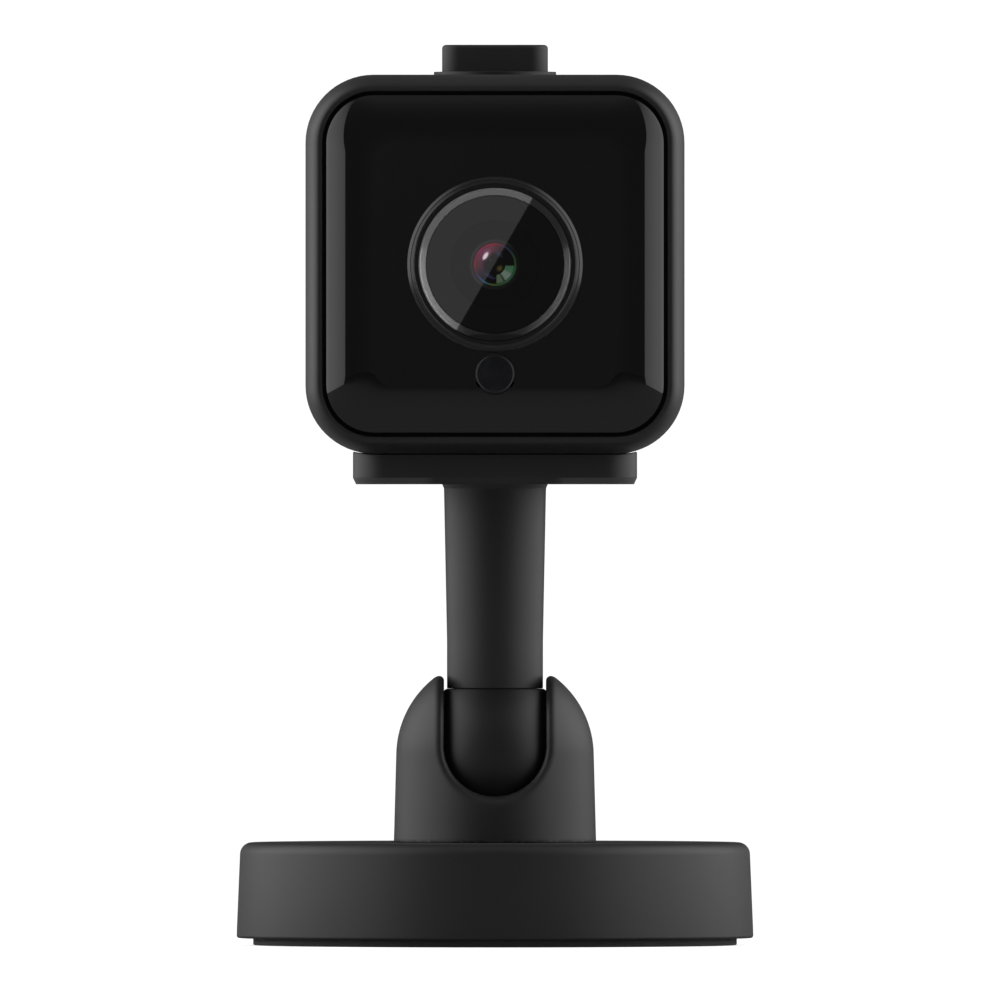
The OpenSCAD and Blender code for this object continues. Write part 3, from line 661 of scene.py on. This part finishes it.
# ------------------------------------------------------------------ slotted socket, from a distance field
def socket():
    slot_half, slot_floor, dome = 6.65, 19.79, 13.07
    pitch = 0.26

    def round_and(a, b, r):
        return np.minimum(np.maximum(a, b), -r) + np.hypot(np.maximum(a + r, 0), np.maximum(b + r, 0))

    def field(x, y, z):
        r = np.hypot(x, y)
        lean = math.atan(0.027)                    # the foot meets the dome without a kink
        zt = BALL_Z + 0.05 + dome * math.sin(lean)
        cone = (r - dome * math.cos(lean) - (zt - z) * 0.027) * math.cos(lean)
        ball = np.sqrt(r * r + (z - BALL_Z - 0.05) ** 2) - dome
        outer = np.where(z < zt, cone, ball)
        outer = np.maximum(outer, T - z)
        spigot = np.maximum(r - 12.2, np.maximum(z - T - 0.5, T - 5 - z))
        flange = np.maximum(r - 17.5, np.maximum(z - (T - 3), (T - 5) - z))
        outer = np.minimum(outer, np.minimum(spigot, flange))
        cave = np.where(z < BALL_Z, r - 11.08, np.sqrt(r * r + (z - BALL_Z) ** 2) - 11.08)
        zc = slot_floor + slot_half
        slot = np.hypot(x, np.minimum(z - zc, 0)) - slot_half
        f = round_and(outer, -cave, 0.12)
        return round_and(f, -slot, 1.45)

    xs = np.arange(-18.0, 18.0 + pitch, pitch) + 0.013
    zs = np.arange(T - 5.6, 37.2, pitch) + 0.017
    n, m = len(xs), len(zs)
    X, Y, Z = np.meshgrid(xs, xs, zs, indexing="ij")
    F = field(X, Y, Z)
    inside = F < 0
    # cells that the surface crosses
    shape = (n - 1, n - 1, m - 1)
    corners = [(i, j, k) for i in (0, 1) for j in (0, 1) for k in (0, 1)]
    count = np.zeros(shape, np.int8)
    for i, j, k in corners:
        count += inside[i:n - 1 + i, j:n - 1 + j, k:m - 1 + k]
    cell = (count > 0) & (count < 8)
    index = -np.ones(shape, int)
    index[cell] = np.arange(cell.sum())
    ci, cj, ck = np.nonzero(cell)
    total = np.zeros((len(ci), 3))
    hits = np.zeros(len(ci))
    pos = lambda i, j, k: np.stack([xs[i], xs[j], zs[k]], 1)
    for a in range(8):
        for bit in (1, 2, 4):
            if a & bit:
                continue
            b = a | bit
            A = (ci + (a & 1), cj + ((a >> 1) & 1), ck + ((a >> 2) & 1))
            B = (ci + (b & 1), cj + ((b >> 1) & 1), ck + ((b >> 2) & 1))
            fa, fb = F[A], F[B]
            w = (fa < 0) != (fb < 0)
            t = np.where(w, fa / np.where(w, fa - fb, 1), 0)[:, None]
            p = pos(*A) + t * (pos(*B) - pos(*A))
            total += np.where(w[:, None], p, 0)
            hits += w
    P = total / hits[:, None]
    for _ in range(4):  # slide onto the surface
        h = 0.004
        f0 = field(P[:, 0], P[:, 1], P[:, 2])
        g = np.stack([
            (field(P[:, 0] + h, P[:, 1], P[:, 2]) - field(P[:, 0] - h, P[:, 1], P[:, 2])),
            (field(P[:, 0], P[:, 1] + h, P[:, 2]) - field(P[:, 0], P[:, 1] - h, P[:, 2])),
            (field(P[:, 0], P[:, 1], P[:, 2] + h) - field(P[:, 0], P[:, 1], P[:, 2] - h))], 1) / (2 * h)
        step = (f0 / np.maximum((g * g).sum(1), 0.25))[:, None] * g
        P -= np.clip(step, -pitch / 2, pitch / 2)
    faces = []
    for axis in range(3):
        sl = [slice(None)] * 3
        sl[axis] = slice(0, -1)
        hi = [slice(None)] * 3
        hi[axis] = slice(1, None)
        change = inside[tuple(sl)] != inside[tuple(hi)]
        e = np.array(np.nonzero(change)).T
        u, v = [q for q in range(3) if q != axis]
        keep = np.ones(len(e), bool)
        for q in (u, v):
            keep &= (e[:, q] > 0) & (e[:, q] < np.array(inside.shape)[q] - 1)
        e = e[keep]
        quad = []
        for du, dv in ((-1, -1), (0, -1), (0, 0), (-1, 0)):
            c = e.copy()
            c[:, u] += du
            c[:, v] += dv
            quad.append(index[c[:, 0], c[:, 1], c[:, 2]])
        faces.append(np.stack(quad, 1))
    faces = np.concatenate(faces)
    faces = faces[(faces >= 0).all(1)]
    return build("socket", P, faces.tolist(), sharp=50)


put(socket(), "base", "matte_black", MATTE, "socket_yoke")

# ------------------------------------------------------------------ ball
flat = STEM_Z0
fr = math.sqrt(BALL_R ** 2 - (flat - BALL_Z) ** 2)
a_top = math.degrees(math.asin((flat - BALL_Z) / BALL_R))
a_low = -math.degrees(math.acos(4.3 / BALL_R))
prof = [(2.5, 19.0), (4.3, 19.0)] + arc(0, BALL_Z, BALL_R, a_low, a_top - 1.0, 60) + [(fr - 0.1, flat), (2.5, flat)]
put(lathe("ball", prof, n=160), "ball", "ball_black", BALL, "joint_ball")

# ------------------------------------------------------------------ arm
put(lathe("arm", rounded([(2.55, STEM_Z0 + 0.03), (6.35, STEM_Z0 + 0.03, 0.1), (6.35, 40.2, 6), (6.755, STEM_Z1 - 0.55, 0.6), (7.0, STEM_Z1 + 0.02), (2.55, STEM_Z1 + 0.02)], closed=True, n=6), n=160),
    "arm", "matte_black", MATTE, "stem")


def plate_material():
    """The plate's plastic with painted light: the chamfer under its front edge is painted paler, clear of the arm,
    whose shade is left dark.
    """
    m = plastic("plate_black", (0.0065, 0.0065, 0.0067), (0.0090, 0.0090, 0.0093), (0.49, 0.54))
    nt = m.node_tree
    base = [n for n in nt.nodes if n.type == "BSDF_PRINCIPLED"][0].inputs["Base Color"]
    x, z = object_xz(nt, 0, PL_LO[2])
    # painted light along the chamfer, left out near the arm where its shade falls
    painted_chamfer_light = maths(nt, "MULTIPLY", fall(nt, z, 0.80, 0.90), fall(nt, maths(nt, "ABSOLUTE", x), 9.6, 7.6))
    nt.links.new(plus(nt, base.links[0].from_socket, times(nt, (0.040, 0.040, 0.041), painted_chamfer_light)), base)
    return m


PLATEM = plate_material()
pr = 4.4
rows = []
for inset, z in rounded([(0.43, PL_LO[2], 0), (0.40, PL_LO[2], 0.02), (0.0, PL_LO[2] + 0.86, 0.2), (0.0, PL_HI[2] - 0.14, 0.08), (0.13, PL_HI[2], 0.05), (0.7, PL_HI[2])], n=4):
    rows.append((PLATE_W - 2 * inset, PLATE_W - 2 * inset, pr - inset, z))
rows = [(PLATE_W - 4, PLATE_W - 4, pr - 2, PL_LO[2])] + rows + [(PLATE_W - 4, PLATE_W - 4, pr - 2, PL_HI[2])]
plate = loft_z("mount_plate", rows, nc=12)
for v in plate.data.vertices:                # the top follows the round of the case above it
    if v.co.z * 1000 > PL_HI[2] - 0.2:
        v.co.z += 0.00004 * max(abs(v.co.x) * 1000 - 16.0, 0.0) ** 2
parts = []
for sx in (-13, 13):
    for sy in (-13, 13):
        ring = [(sx + 2.5 * math.cos(2 * math.pi * i / 32), sy + 2.5 * math.sin(2 * math.pi * i / 32)) for i in range(32)]
        parts.append(skin([[(x, y, z) for x, y in ring] for z in (PL_LO[2] - 1, PL_LO[2] + 1.6)]))
v, f = join_verts(parts)
cut(plate, build("cutter", v, f))
put(plate, "arm", "matte_black", PLATEM, "head_plate")

# ------------------------------------------------------------------ camera body
CR = 9.0


def row(inset, y, corner=CR, shrink=1.0):
    return (BODY_W - 2 * inset, BODY_H - 2 * inset, max(corner - inset * shrink, 0.6), y, CZ)


EDGE_A, EDGE_B = 1.85, 6.4
prof = [(0.12, SPLIT), (0.0, SPLIT - 0.12), (0.0, YF + EDGE_B + 6)]
prof += [(EDGE_A * (1 - math.cos(math.radians(a))), YF + EDGE_B * (1 - math.sin(math.radians(a)))) for a in (0, 6, 12, 18, 24, 30, 36, 42, 48, 54, 59, 64, 68, 72, 75, 78, 81, 84, 86, 88, 90)]
prof += [(2.14, YF), (2.24, YF + 0.08), (2.26, YF + 0.2), (2.26, YF + 4), (6.0, YF + 4), (6.0, YF + 5.5), (2.0, YF + 5.5), (2.0, SPLIT)]
housing = loft_y("case", [row(i, y) for i, y in prof], closed=True, nc=16)
ring = rr_ring((T_HI[0] - T_LO[0]) - 1.6 + 0.2, 9.2, 1.95, 8)
v, f = skin([[(x, y, z) for x, y in ring] for z in (H_HI[2] - 4, H_HI[2] + 4)])
cut(housing, build("cutter", v, f))
put(housing, "arm", "matte_black", MATTE, "camera_housing")

prof = rounded([(0.12, SPLIT + 0.02, 0), (0.0, SPLIT + 0.14, 0), (0.0, YB - 0.05, 2.6), (4.0, YB, 0)], n=10)
rows = [row(3.5, SPLIT + 2.0)] + [row(2.5, SPLIT + 2.0), row(2.5, SPLIT + 0.02)] + [row(i, y) for i, y in prof] + [row(5.0, YB)]
cover = loft_y("back_cover", rows, nc=16)
parts = []
for i in range(-3, 4):
    for j in range(-3, 4):
        x, z = (i + 0.5 * (abs(j) % 2)) * 2.2, j * 1.9
        if math.hypot(x, z) < 6.8:
            parts.append(rod(x, 97 + z, 0.6, YB - 4, YB + 2, 20))
parts.append(rod(14, 82, 0.5, YB - 4, YB + 2, 20))
parts.append(rod(0, RESET_Z, 1.56, YB - 4, YB + 2, 32))
for sx in (-18.5, 18.5):
    for sz in (-18.5, 18.5):
        parts.append(rod(sx, CZ + sz, 2.1, YB - 8, YB + 2, 32))
U_LO, U_HI = box("usb_port")
C_LO, C_HI = box("card_socket")
for cx, cz, w, h, r in (((U_LO[0] + U_HI[0]) / 2, (U_LO[2] + U_HI[2]) / 2, 9.2, 3.4, 1.2), ((C_LO[0] + C_HI[0]) / 2, (C_LO[2] + C_HI[2]) / 2, 11.4, 1.6, 0.7)):
    ring = [(cx + x, cz + z) for x, z in rr_ring(w, h, r, 8)]
    parts.append(skin([[(x, y, z) for x, z in ring] for y in (YB - 4, YB + 2)]))
v, f = join_verts(parts)
cut(cover, build("cutter", v, f))
put(cover, "arm", "matte_black", MATTE, "rear_cover")

# ------------------------------------------------------------------ front panel
A0 = math.radians(2.2)                       # the roll-off leaves the flat at a faint crease
A1 = math.radians(36.0)
PR = 6.0 / (math.sin(A1) - math.sin(A0))
prof = []
for k in range(29):
    a = A1 + (A0 - A1) * k / 28
    prof.append((6.0 - PR * (math.sin(a) - math.sin(A0)), PANEL_Y + PR * (math.cos(A0) - math.cos(a))))
y_edge = prof[0][1]
rows = [(0.0, YF + 3.2), (0.0, y_edge + 0.02)] + prof[1:]


def prow(inset, y):
    return (PANEL_W - 2 * inset, PANEL_H - 2 * inset, max(6.3 - 0.55 * inset, 1.5), y, PANEL_CZ)


def fill(bm, ring, loops, y):
    """A flat face inside a ring with round holes; gives the vertices of each hole."""
    outer = [bm.verts.new((p[0], y, p[2])) for p in ring]
    edges = [bm.edges.new((outer[i], outer[(i + 1) % len(outer)])) for i in range(len(outer))]
    holes = []
    for cz, r, count in loops:
        loop = [bm.verts.new((r * math.cos(2 * math.pi * i / count), y, cz + r * math.sin(2 * math.pi * i / count))) for i in range(count)]
        edges += [bm.edges.new((loop[i], loop[(i + 1) % count])) for i in range(count)]
        holes.append(loop)
    bmesh.ops.triangle_fill(bm, use_beauty=True, use_dissolve=False, edges=edges)
    return holes


def panel():
    """The glossy shell: hollow at the back, open round the lens and at the light sensor."""
    y_in = YF - 0.2
    rings = [[(x, y, PANEL_CZ + z) for x, z in rr_ring(38.6, 38.6, 3.5, 16)] for y in (y_in, rows[0][1])]
    rings += [[(x, y, PANEL_CZ + z) for x, z in rr_ring(w, h, r, 16)] for w, h, r, y, _ in [prow(i, y) for i, y in rows + [(6.6, PANEL_Y)]]]
    verts, faces = skin(rings, False, False, False)
    bm = bmesh.new()
    loops = ((LZ, BEZEL_R + 0.02, 96), (EYE_Z, EYE_R + 0.02, 48))
    front = fill(bm, rings[-1], loops, PANEL_Y)
    back = fill(bm, rings[0], loops, y_in)
    for a, b in zip(front, back):
        for i in range(len(a)):
            k = (i + 1) % len(a)
            bm.faces.new((a[i], a[k], b[k], b[i]))
    bm.verts.index_update()
    start = len(verts)
    verts += [tuple(v.co) for v in bm.verts]
    faces += [tuple(start + v.index for v in q.verts) for q in bm.faces]
    bm.free()
    return build("glossy_panel", verts, faces, sharp=28, flats=True)


put(panel(), "arm", "gloss_black", GLOSS, "front_panel")

# ------------------------------------------------------------------ rings, glass and lens
fy = -PANEL_Y
bw = (BEZEL_R - 10.6) / 2
put(lathe("lens_ring", rounded([(10.15, fy - 0.8), (BEZEL_R, fy - 0.8), (BEZEL_R, fy + 0.03, 0.05), (BEZEL_R - 0.42, fy + 0.42, 0.05), (BEZEL_R - 0.46, fy + 0.36, 0.03), (10.72, fy + 0.64, 0.05), (10.6, fy + 0.50, 0.05), (10.6, fy - 0.45), (10.15, fy - 0.45)], closed=True, n=6), axis="y", cz=LZ, n=192),
    "arm", "satin_black", SATIN, "lens_bezel")
put(lathe("trim_chamfer", rounded([(9.13, fy - 2.1), (GLASS_R, fy - 2.1), (GLASS_R, fy - 0.9), (GLASS_R - 0.05, fy - 0.87, 0), (9.13, fy - 1.54, 0.05)], closed=True, n=4), axis="y", cz=LZ, n=192, sharp=20),
    "arm", "trim_metal", TRIM, "lens_trim_ring")
GR = 400.0                                   # the cover glass is very slightly domed
gz = fy - 0.10
glass = [(0, gz - 0.7), (GLASS_R, gz - 0.7), (GLASS_R, gz - 0.06), (GLASS_R - 0.06, gz)]
for k in range(1, 25):
    r = (GLASS_R - 0.06) * (1 - k / 24)
    glass.append((r, gz + math.sqrt(GR ** 2 - r * r) - math.sqrt(GR ** 2 - (GLASS_R - 0.06) ** 2)))
cover_glass = lathe("cover_glass", glass, axis="y", cz=LZ, n=160, closed=False)
TILT = math.radians(0.30)                    # and seated a third of a degree off square
for v in cover_glass.data.vertices:
    if -v.co.y * 1000 > gz - 0.01:
        v.co.y += (v.co.x * 0.8667 - (v.co.z - LZ / 1000) * 0.499) * math.tan(TILT) * -1
put(cover_glass, "arm", "cover_glass", GLASS, "lens_window")
put(lathe("dark_cone", [(9.5, fy - 6.2), (10.5, fy - 6.2), (10.5, fy - 2.1), (8.9, fy - 2.1), (8.6, fy - 2.3), (7.9, fy - 3.0), (7.85, fy - 3.2), (7.2, fy - 3.8), (7.15, fy - 4.0), (6.4, fy - 4.5), (6.2, fy - 4.9), (9.5, fy - 5.2)], axis="y", cz=LZ, n=128),
    "arm", "dark_plastic", BAFFLE, "lens_baffle")


def barrel_material():
    """Black lens barrel with painted light on the lip round its mouth: an emission lights the lip, brightest from its
    top round the left to its lower left.
    """
    m, nt, b = material("barrel_black")
    x, z, r, turn = polar(nt, 0, LZ)
    # painted light: the lip glows, strongest on the side the light would come from
    painted_lip_light = maths(nt, "MULTIPLY", fall(nt, r, 3.02, 2.92), fall(nt, r, 3.20, 3.42))
    side = ramp(nt, turn, [(0.0, (0.06, 0.06, 0.06)), (0.10, (0.10, 0.10, 0.10)), (0.18, (0.6, 0.58, 0.56)), (0.30, (0.8, 0.78, 0.80)), (0.45, (0.9, 0.88, 0.85)), (0.62, (1.0, 0.95, 0.90)), (0.70, (0.25, 0.25, 0.24)), (0.85, (0.12, 0.12, 0.11)), (1.0, (0.06, 0.06, 0.06))])
    nt.links.new(times(nt, side, painted_lip_light), b.inputs["Emission Color"])
    b.inputs["Emission Strength"].default_value = 0.016 / CLEAR
    nt.links.new(ramp(nt, maths(nt, "DIVIDE", r, 6.0), [(0.0, (0.003, 0.003, 0.003)), (0.90, (0.004, 0.004, 0.0042)), (0.93, (0.02, 0.02, 0.021)), (1.0, (0.004, 0.004, 0.004))]), b.inputs["Base Color"])
    b.inputs["Roughness"].default_value = 0.42
    b.inputs["Specular IOR Level"].default_value = 0.4
    return m


BARREL = barrel_material()
put(lathe("barrel", [(3.6, 9.0), (5.87, 9.0), (5.87, fy - 3.6), (5.75, fy - 3.45), (5.4, fy - 3.45), (5.2, fy - 3.6), (3.35, fy - 3.85), (3.17, fy - 3.8), (2.95, fy - 4.0), (2.83, fy - 4.6), (2.83, 20.6), (3.6, 20.6)], axis="y", cz=LZ, n=128),
    "arm", "dark_plastic", BARREL, "lens_barrel")
el = [(0, 20.6), (2.82, 20.6), (2.82, 21.2)]
for k in range(1, 17):
    r = 2.82 * (1 - k / 16)
    el.append((r, 21.2 + 0.9 * (1 - (r / 2.82) ** 2)))
put(lathe("front_lens", el, axis="y", cz=LZ, n=96, closed=False), "arm", "coated_glass", ELEMENT, "front_element")
put(lathe("sensor_eye", [(0, fy - 1.6), (EYE_R, fy - 1.6), (EYE_R, fy - 1.2), (2.57, fy - 1.2), (2.57, fy - 0.01), (2.55, fy + 0.01), (0, fy + 0.01)], axis="y", cz=EYE_Z, n=96, closed=False),
    "arm", "smoked_window", EYE, "light_sensor_window")

# ------------------------------------------------------------------ top button
BWID = T_HI[0] - T_LO[0] - 1.6
BDEP = T_HI[1] - T_LO[1] - 1.6
zt = T_HI[2]
rows = [(BWID + 1.6, BDEP + 1.6, 2.2, T_LO[2]), (BWID + 1.6, BDEP + 1.6, 2.2, T_LO[2] + 0.9), (BWID, BDEP, 2.4, T_LO[2] + 0.9)]
for inset, z in rounded([(0.0, T_LO[2] + 1.0, 0), (0.0, zt, 0.5), (2.2, zt, 0)], n=8)[1:]:
    rows.append((BWID - 2 * inset, BDEP - 2 * inset, max(2.4 - inset, 0.35), z))
put(loft_z("push_button", rows, nc=12), "top_button", "satin_black", BUTTON, "top_button")
zb = F_LO[2]
n = 4 * 25
hole = rr_ring(BWID + 0.2, BDEP + 0.2, 1.95, 24)
hole = [p for a, b in zip(hole, hole[1:] + hole[:1]) for p in [(a[0] + (b[0] - a[0]) * k / 24, a[1] + (b[1] - a[1]) * k / 24) for k in (range(24) if math.dist(a, b) > 1.0 else (0,))]]
ang = [math.atan2(y, x) for x, y in hole]
circle = lambda r: [(r * math.cos(a), r * math.sin(a)) for a in ang]
zf = F_HI[2]
rings = [[(x, y, zb) for x, y in circle(FLANGE_R)], [(x, y, zf - 0.04) for x, y in circle(FLANGE_R)], [(x, y, zf) for x, y in circle(FLANGE_R - 0.04)],
         [(x, y, zf) for x, y in hole], [(x, y, zb) for x, y in hole]]
v, f = skin(rings, closed=True)
put(build("button_collar", v, f), "arm", "matte_black", MATTE, "button_flange")
put(lathe("reset_pin", rounded([(0, -20.4), (2.3, -20.4), (2.3, -21.8), (1.5, -21.8), (1.5, -K_HI[1], 0.2), (0, -K_HI[1])], n=4), axis="y", cz=RESET_Z, n=64, closed=False),
    "reset_button", "dark_plastic", BUTTON, "reset_button")

# ------------------------------------------------------------------ carried-over nodes
for name, mat in {
    "base_bottom_cover": MATTE, "ballast_ring": IRON, "base_screws": STEEL, "yoke_screws": STEEL, "socket_plug": DARK, "socket_spring": STEEL,
    "ball_cup": NYLON, "pivot_bolt": BLACKSTEEL, "friction_washer": BRASS, "pivot_nut": STEEL, "stem_screws": STEEL, "mount_screws": BLACKSTEEL,
    "mount_inserts": BRASS, "housing_screws": BLACKSTEEL, "panel_gasket": FOAM, "rear_elements": REARGLASS, "lens_holder": DARK,
    "infrared_filter": REARGLASS, "image_sensor": CHIP, "sensor_board": BOARD, "sensor_board_screws": STEEL, "led_board": WHITEB,
    "infrared_leds": LEDM, "light_sensor": CHIP, "main_board": BOARD, "shield_can": TIN, "heat_sink": ALU, "flex_cable": FLEX,
    "wifi_antenna": FLEX, "speaker": DARK, "speaker_cloth": CLOTH, "microphone": TIN, "io_board": BOARD, "usb_port": TIN, "card_socket": TIN,
    "reset_switch": CHIP, "button_board": BOARD, "tact_switch": CHIP}.items():
    ob = NODES[name]
    ob.data.materials.clear()
    ob.data.materials.append(mat)

# ------------------------------------------------------------------ stage and light
FLOOR_R = 2.2


def floor():
    verts = [(0, 0, -0.02)]
    n, faces = 96, []
    radii = [60, 120, 240, 480, 1000, 2200]
    for r in radii:
        for i in range(n):
            verts.append((r * math.cos(2 * math.pi * i / n), r * math.sin(2 * math.pi * i / n), -0.02))
    for i in range(n):
        faces.append((0, 1 + i, 1 + (i + 1) % n))
    for k in range(len(radii) - 1):
        for i in range(n):
            j = (i + 1) % n
            faces.append((1 + k * n + i, 1 + (k + 1) * n + i, 1 + (k + 1) * n + j, 1 + k * n + j))
    ob = build("floor", verts, faces)
    m = bpy.data.materials.new("floor_white")
    m.use_nodes = True
    nt = m.node_tree
    nt.nodes.clear()
    out = add(nt, "ShaderNodeOutputMaterial")
    path = add(nt, "ShaderNodeLightPath")
    lit = add(nt, "ShaderNodeBsdfDiffuse")
    lit.inputs["Color"].default_value = (0.62, 0.62, 0.62, 1)
    glow = add(nt, "ShaderNodeEmission")
    glow.inputs["Strength"].default_value = 0.74
    seen = add(nt, "ShaderNodeAddShader")
    nt.links.new(lit.outputs[0], seen.inputs[0])
    nt.links.new(glow.outputs[0], seen.inputs[1])
    white = add(nt, "ShaderNodeEmission")
    white.inputs["Strength"].default_value = 1.05
    co = add(nt, "ShaderNodeTexCoord").outputs["Object"]
    ln = add(nt, "ShaderNodeVectorMath", operation="LENGTH")
    nt.links.new(co, ln.inputs[0])
    away = add(nt, "ShaderNodeMapRange", interpolation_type="SMOOTHSTEP")
    away.inputs["From Min"].default_value = 0.06
    away.inputs["From Max"].default_value = 0.30
    nt.links.new(ln.outputs["Value"], away.inputs["Value"])
    mix = add(nt, "ShaderNodeMixShader")
    nt.links.new(away.outputs["Result"], mix.inputs[0])
    nt.links.new(seen.outputs[0], mix.inputs[1])
    nt.links.new(white.outputs[0], mix.inputs[2])
    plain = add(nt, "ShaderNodeBsdfDiffuse")
    plain.inputs["Color"].default_value = (0.38, 0.38, 0.38, 1)
    pick = add(nt, "ShaderNodeMixShader")
    nt.links.new(path.outputs["Is Camera Ray"], pick.inputs[0])
    nt.links.new(plain.outputs[0], pick.inputs[1])
    nt.links.new(mix.outputs[0], pick.inputs[2])
    nt.links.new(pick.outputs[0], out.inputs["Surface"])
    ob.data.materials.append(m)
    return ob


floor()

world = bpy.data.worlds.new("studio")
scene.world = world
world.use_nodes = True
nt = world.node_tree
nt.nodes.clear()
wout = add(nt, "ShaderNodeOutputWorld")
seen = add(nt, "ShaderNodeBackground")
seen.inputs["Color"].default_value = (1, 1, 1, 1)
seen.inputs["Strength"].default_value = 1.05
room = add(nt, "ShaderNodeBackground")
room.inputs["Color"].default_value = (1, 1, 1, 1)
sky = add(nt, "ShaderNodeSeparateXYZ")
nt.links.new(add(nt, "ShaderNodeTexCoord").outputs["Generated"], sky.inputs[0])
up = maths(nt, "POWER", maths(nt, "MAXIMUM", sky.outputs["Z"], 0.0), 6.2)
ahead = maths(nt, "POWER", maths(nt, "MAXIMUM", maths(nt, "MULTIPLY", sky.outputs["Y"], -1.0), 0.0), 30.0)
over = maths(nt, "MINIMUM", maths(nt, "MULTIPLY_ADD", up, 0.30, 0.096), 0.27)
nt.links.new(maths(nt, "MULTIPLY_ADD", ahead, 0.034, over), room.inputs["Strength"])
path = add(nt, "ShaderNodeLightPath")
mix = add(nt, "ShaderNodeMixShader")
nt.links.new(path.outputs["Is Camera Ray"], mix.inputs[0])
nt.links.new(room.outputs[0], mix.inputs[1])
nt.links.new(seen.outputs[0], mix.inputs[2])
nt.links.new(mix.outputs[0], wout.inputs["Surface"])


def softbox(side, power):
    """A tall diffuser beside the object, brightest a little behind it and fading to the front; the camera does not see it."""
    me = bpy.data.meshes.new("side_light")
    x = side * 0.42
    q = [(x, -0.47, 0.0), (x, 0.50, 0.0), (x, 0.50, 1.14), (x, -0.47, 1.14)]
    me.from_pydata(q, [], [(0, 1, 2, 3)])
    ob = bpy.data.objects.new("side_light", me)
    scene.collection.objects.link(ob)
    m = bpy.data.materials.new("side_light")
    m.use_nodes = True
    nt = m.node_tree
    nt.nodes.clear()
    out = add(nt, "ShaderNodeOutputMaterial")
    em = add(nt, "ShaderNodeEmission")
    sep = add(nt, "ShaderNodeSeparateXYZ")
    nt.links.new(add(nt, "ShaderNodeTexCoord").outputs["Object"], sep.inputs[0])
    pos = maths(nt, "MULTIPLY_ADD", sep.outputs["Y"], 1 / 0.97, 0.47 / 0.97)
    stops = ((-0.47, 1.1), (-0.352, 1.42), (-0.273, 1.66), (-0.205, 1.82), (-0.136, 2.08), (-0.06, 2.35), (0.04, 2.42), (0.15, 2.25), (0.35, 1.9), (0.5, 1.5))
    level = ramp(nt, pos, [((y + 0.47) / 0.97, (v / 2.5,) * 3) for y, v in stops])
    fade = add(nt, "ShaderNodeMapRange", interpolation_type="SMOOTHSTEP")
    fade.inputs["From Min"].default_value = 0.25
    fade.inputs["From Max"].default_value = 1.14
    fade.inputs["To Min"].default_value = 2.5 * power
    fade.inputs["To Max"].default_value = 0.30 * power
    nt.links.new(sep.outputs["Z"], fade.inputs["Value"])
    nt.links.new(level, em.inputs["Color"])
    nt.links.new(fade.outputs["Result"], em.inputs["Strength"])
    nt.links.new(em.outputs[0], out.inputs["Surface"])
    me.materials.append(m)
    ob.visible_camera = False
    return ob


softbox(-1, 1.05)
softbox(1, 1.0)


def card():
    """A lit panel far in front, up and to the left, that only polished faces see."""
    d = 5.0
    u, w = np.array([0.499, 0.8667]), np.array([-0.8667, 0.499])
    c0 = np.array([0.0, LZ / 1000 + (LZ / 1000 - 0.0595) * d / 5.82]) + w * d * math.tan(math.radians(0.62))
    pts = [c0 - u * 0.30, c0 + u * 0.30, c0 + u * 0.30 + w * 0.28, c0 - u * 0.30 + w * 0.28]
    me = bpy.data.meshes.new("card")
    me.from_pydata([(p[0], -d, p[1]) for p in pts], [], [(0, 1, 2, 3)])
    ob = bpy.data.objects.new("card", me)
    scene.collection.objects.link(ob)
    m = bpy.data.materials.new("card_light")
    m.use_nodes = True
    nt = m.node_tree
    nt.nodes.clear()
    out = add(nt, "ShaderNodeOutputMaterial")
    em = add(nt, "ShaderNodeEmission")
    em.inputs["Strength"].default_value = 0.80
    nt.links.new(em.outputs[0], out.inputs["Surface"])
    me.materials.append(m)
    ob.visible_camera = False
    ob.visible_diffuse = False
    ob.visible_shadow = False
    ob.visible_transmission = False
    return ob


card()

# ------------------------------------------------------------------ camera
LENS = 1600.0
cam_data = bpy.data.cameras.new("camera")
cam = bpy.data.objects.new("camera", cam_data)
scene.collection.objects.link(cam)
cam_data.sensor_width = 36.0
cam_data.lens = LENS
dist = 0.13096 / 0.036 * LENS / 1000
cam_data.clip_start = 0.1
cam_data.clip_end = 40.0
cam.location = (0, -dist, 0.05953)
cam.rotation_euler = (math.radians(90), 0, 0)
scene.camera = cam
scene.view_settings.view_transform = "Standard"
scene.view_settings.look = "None"
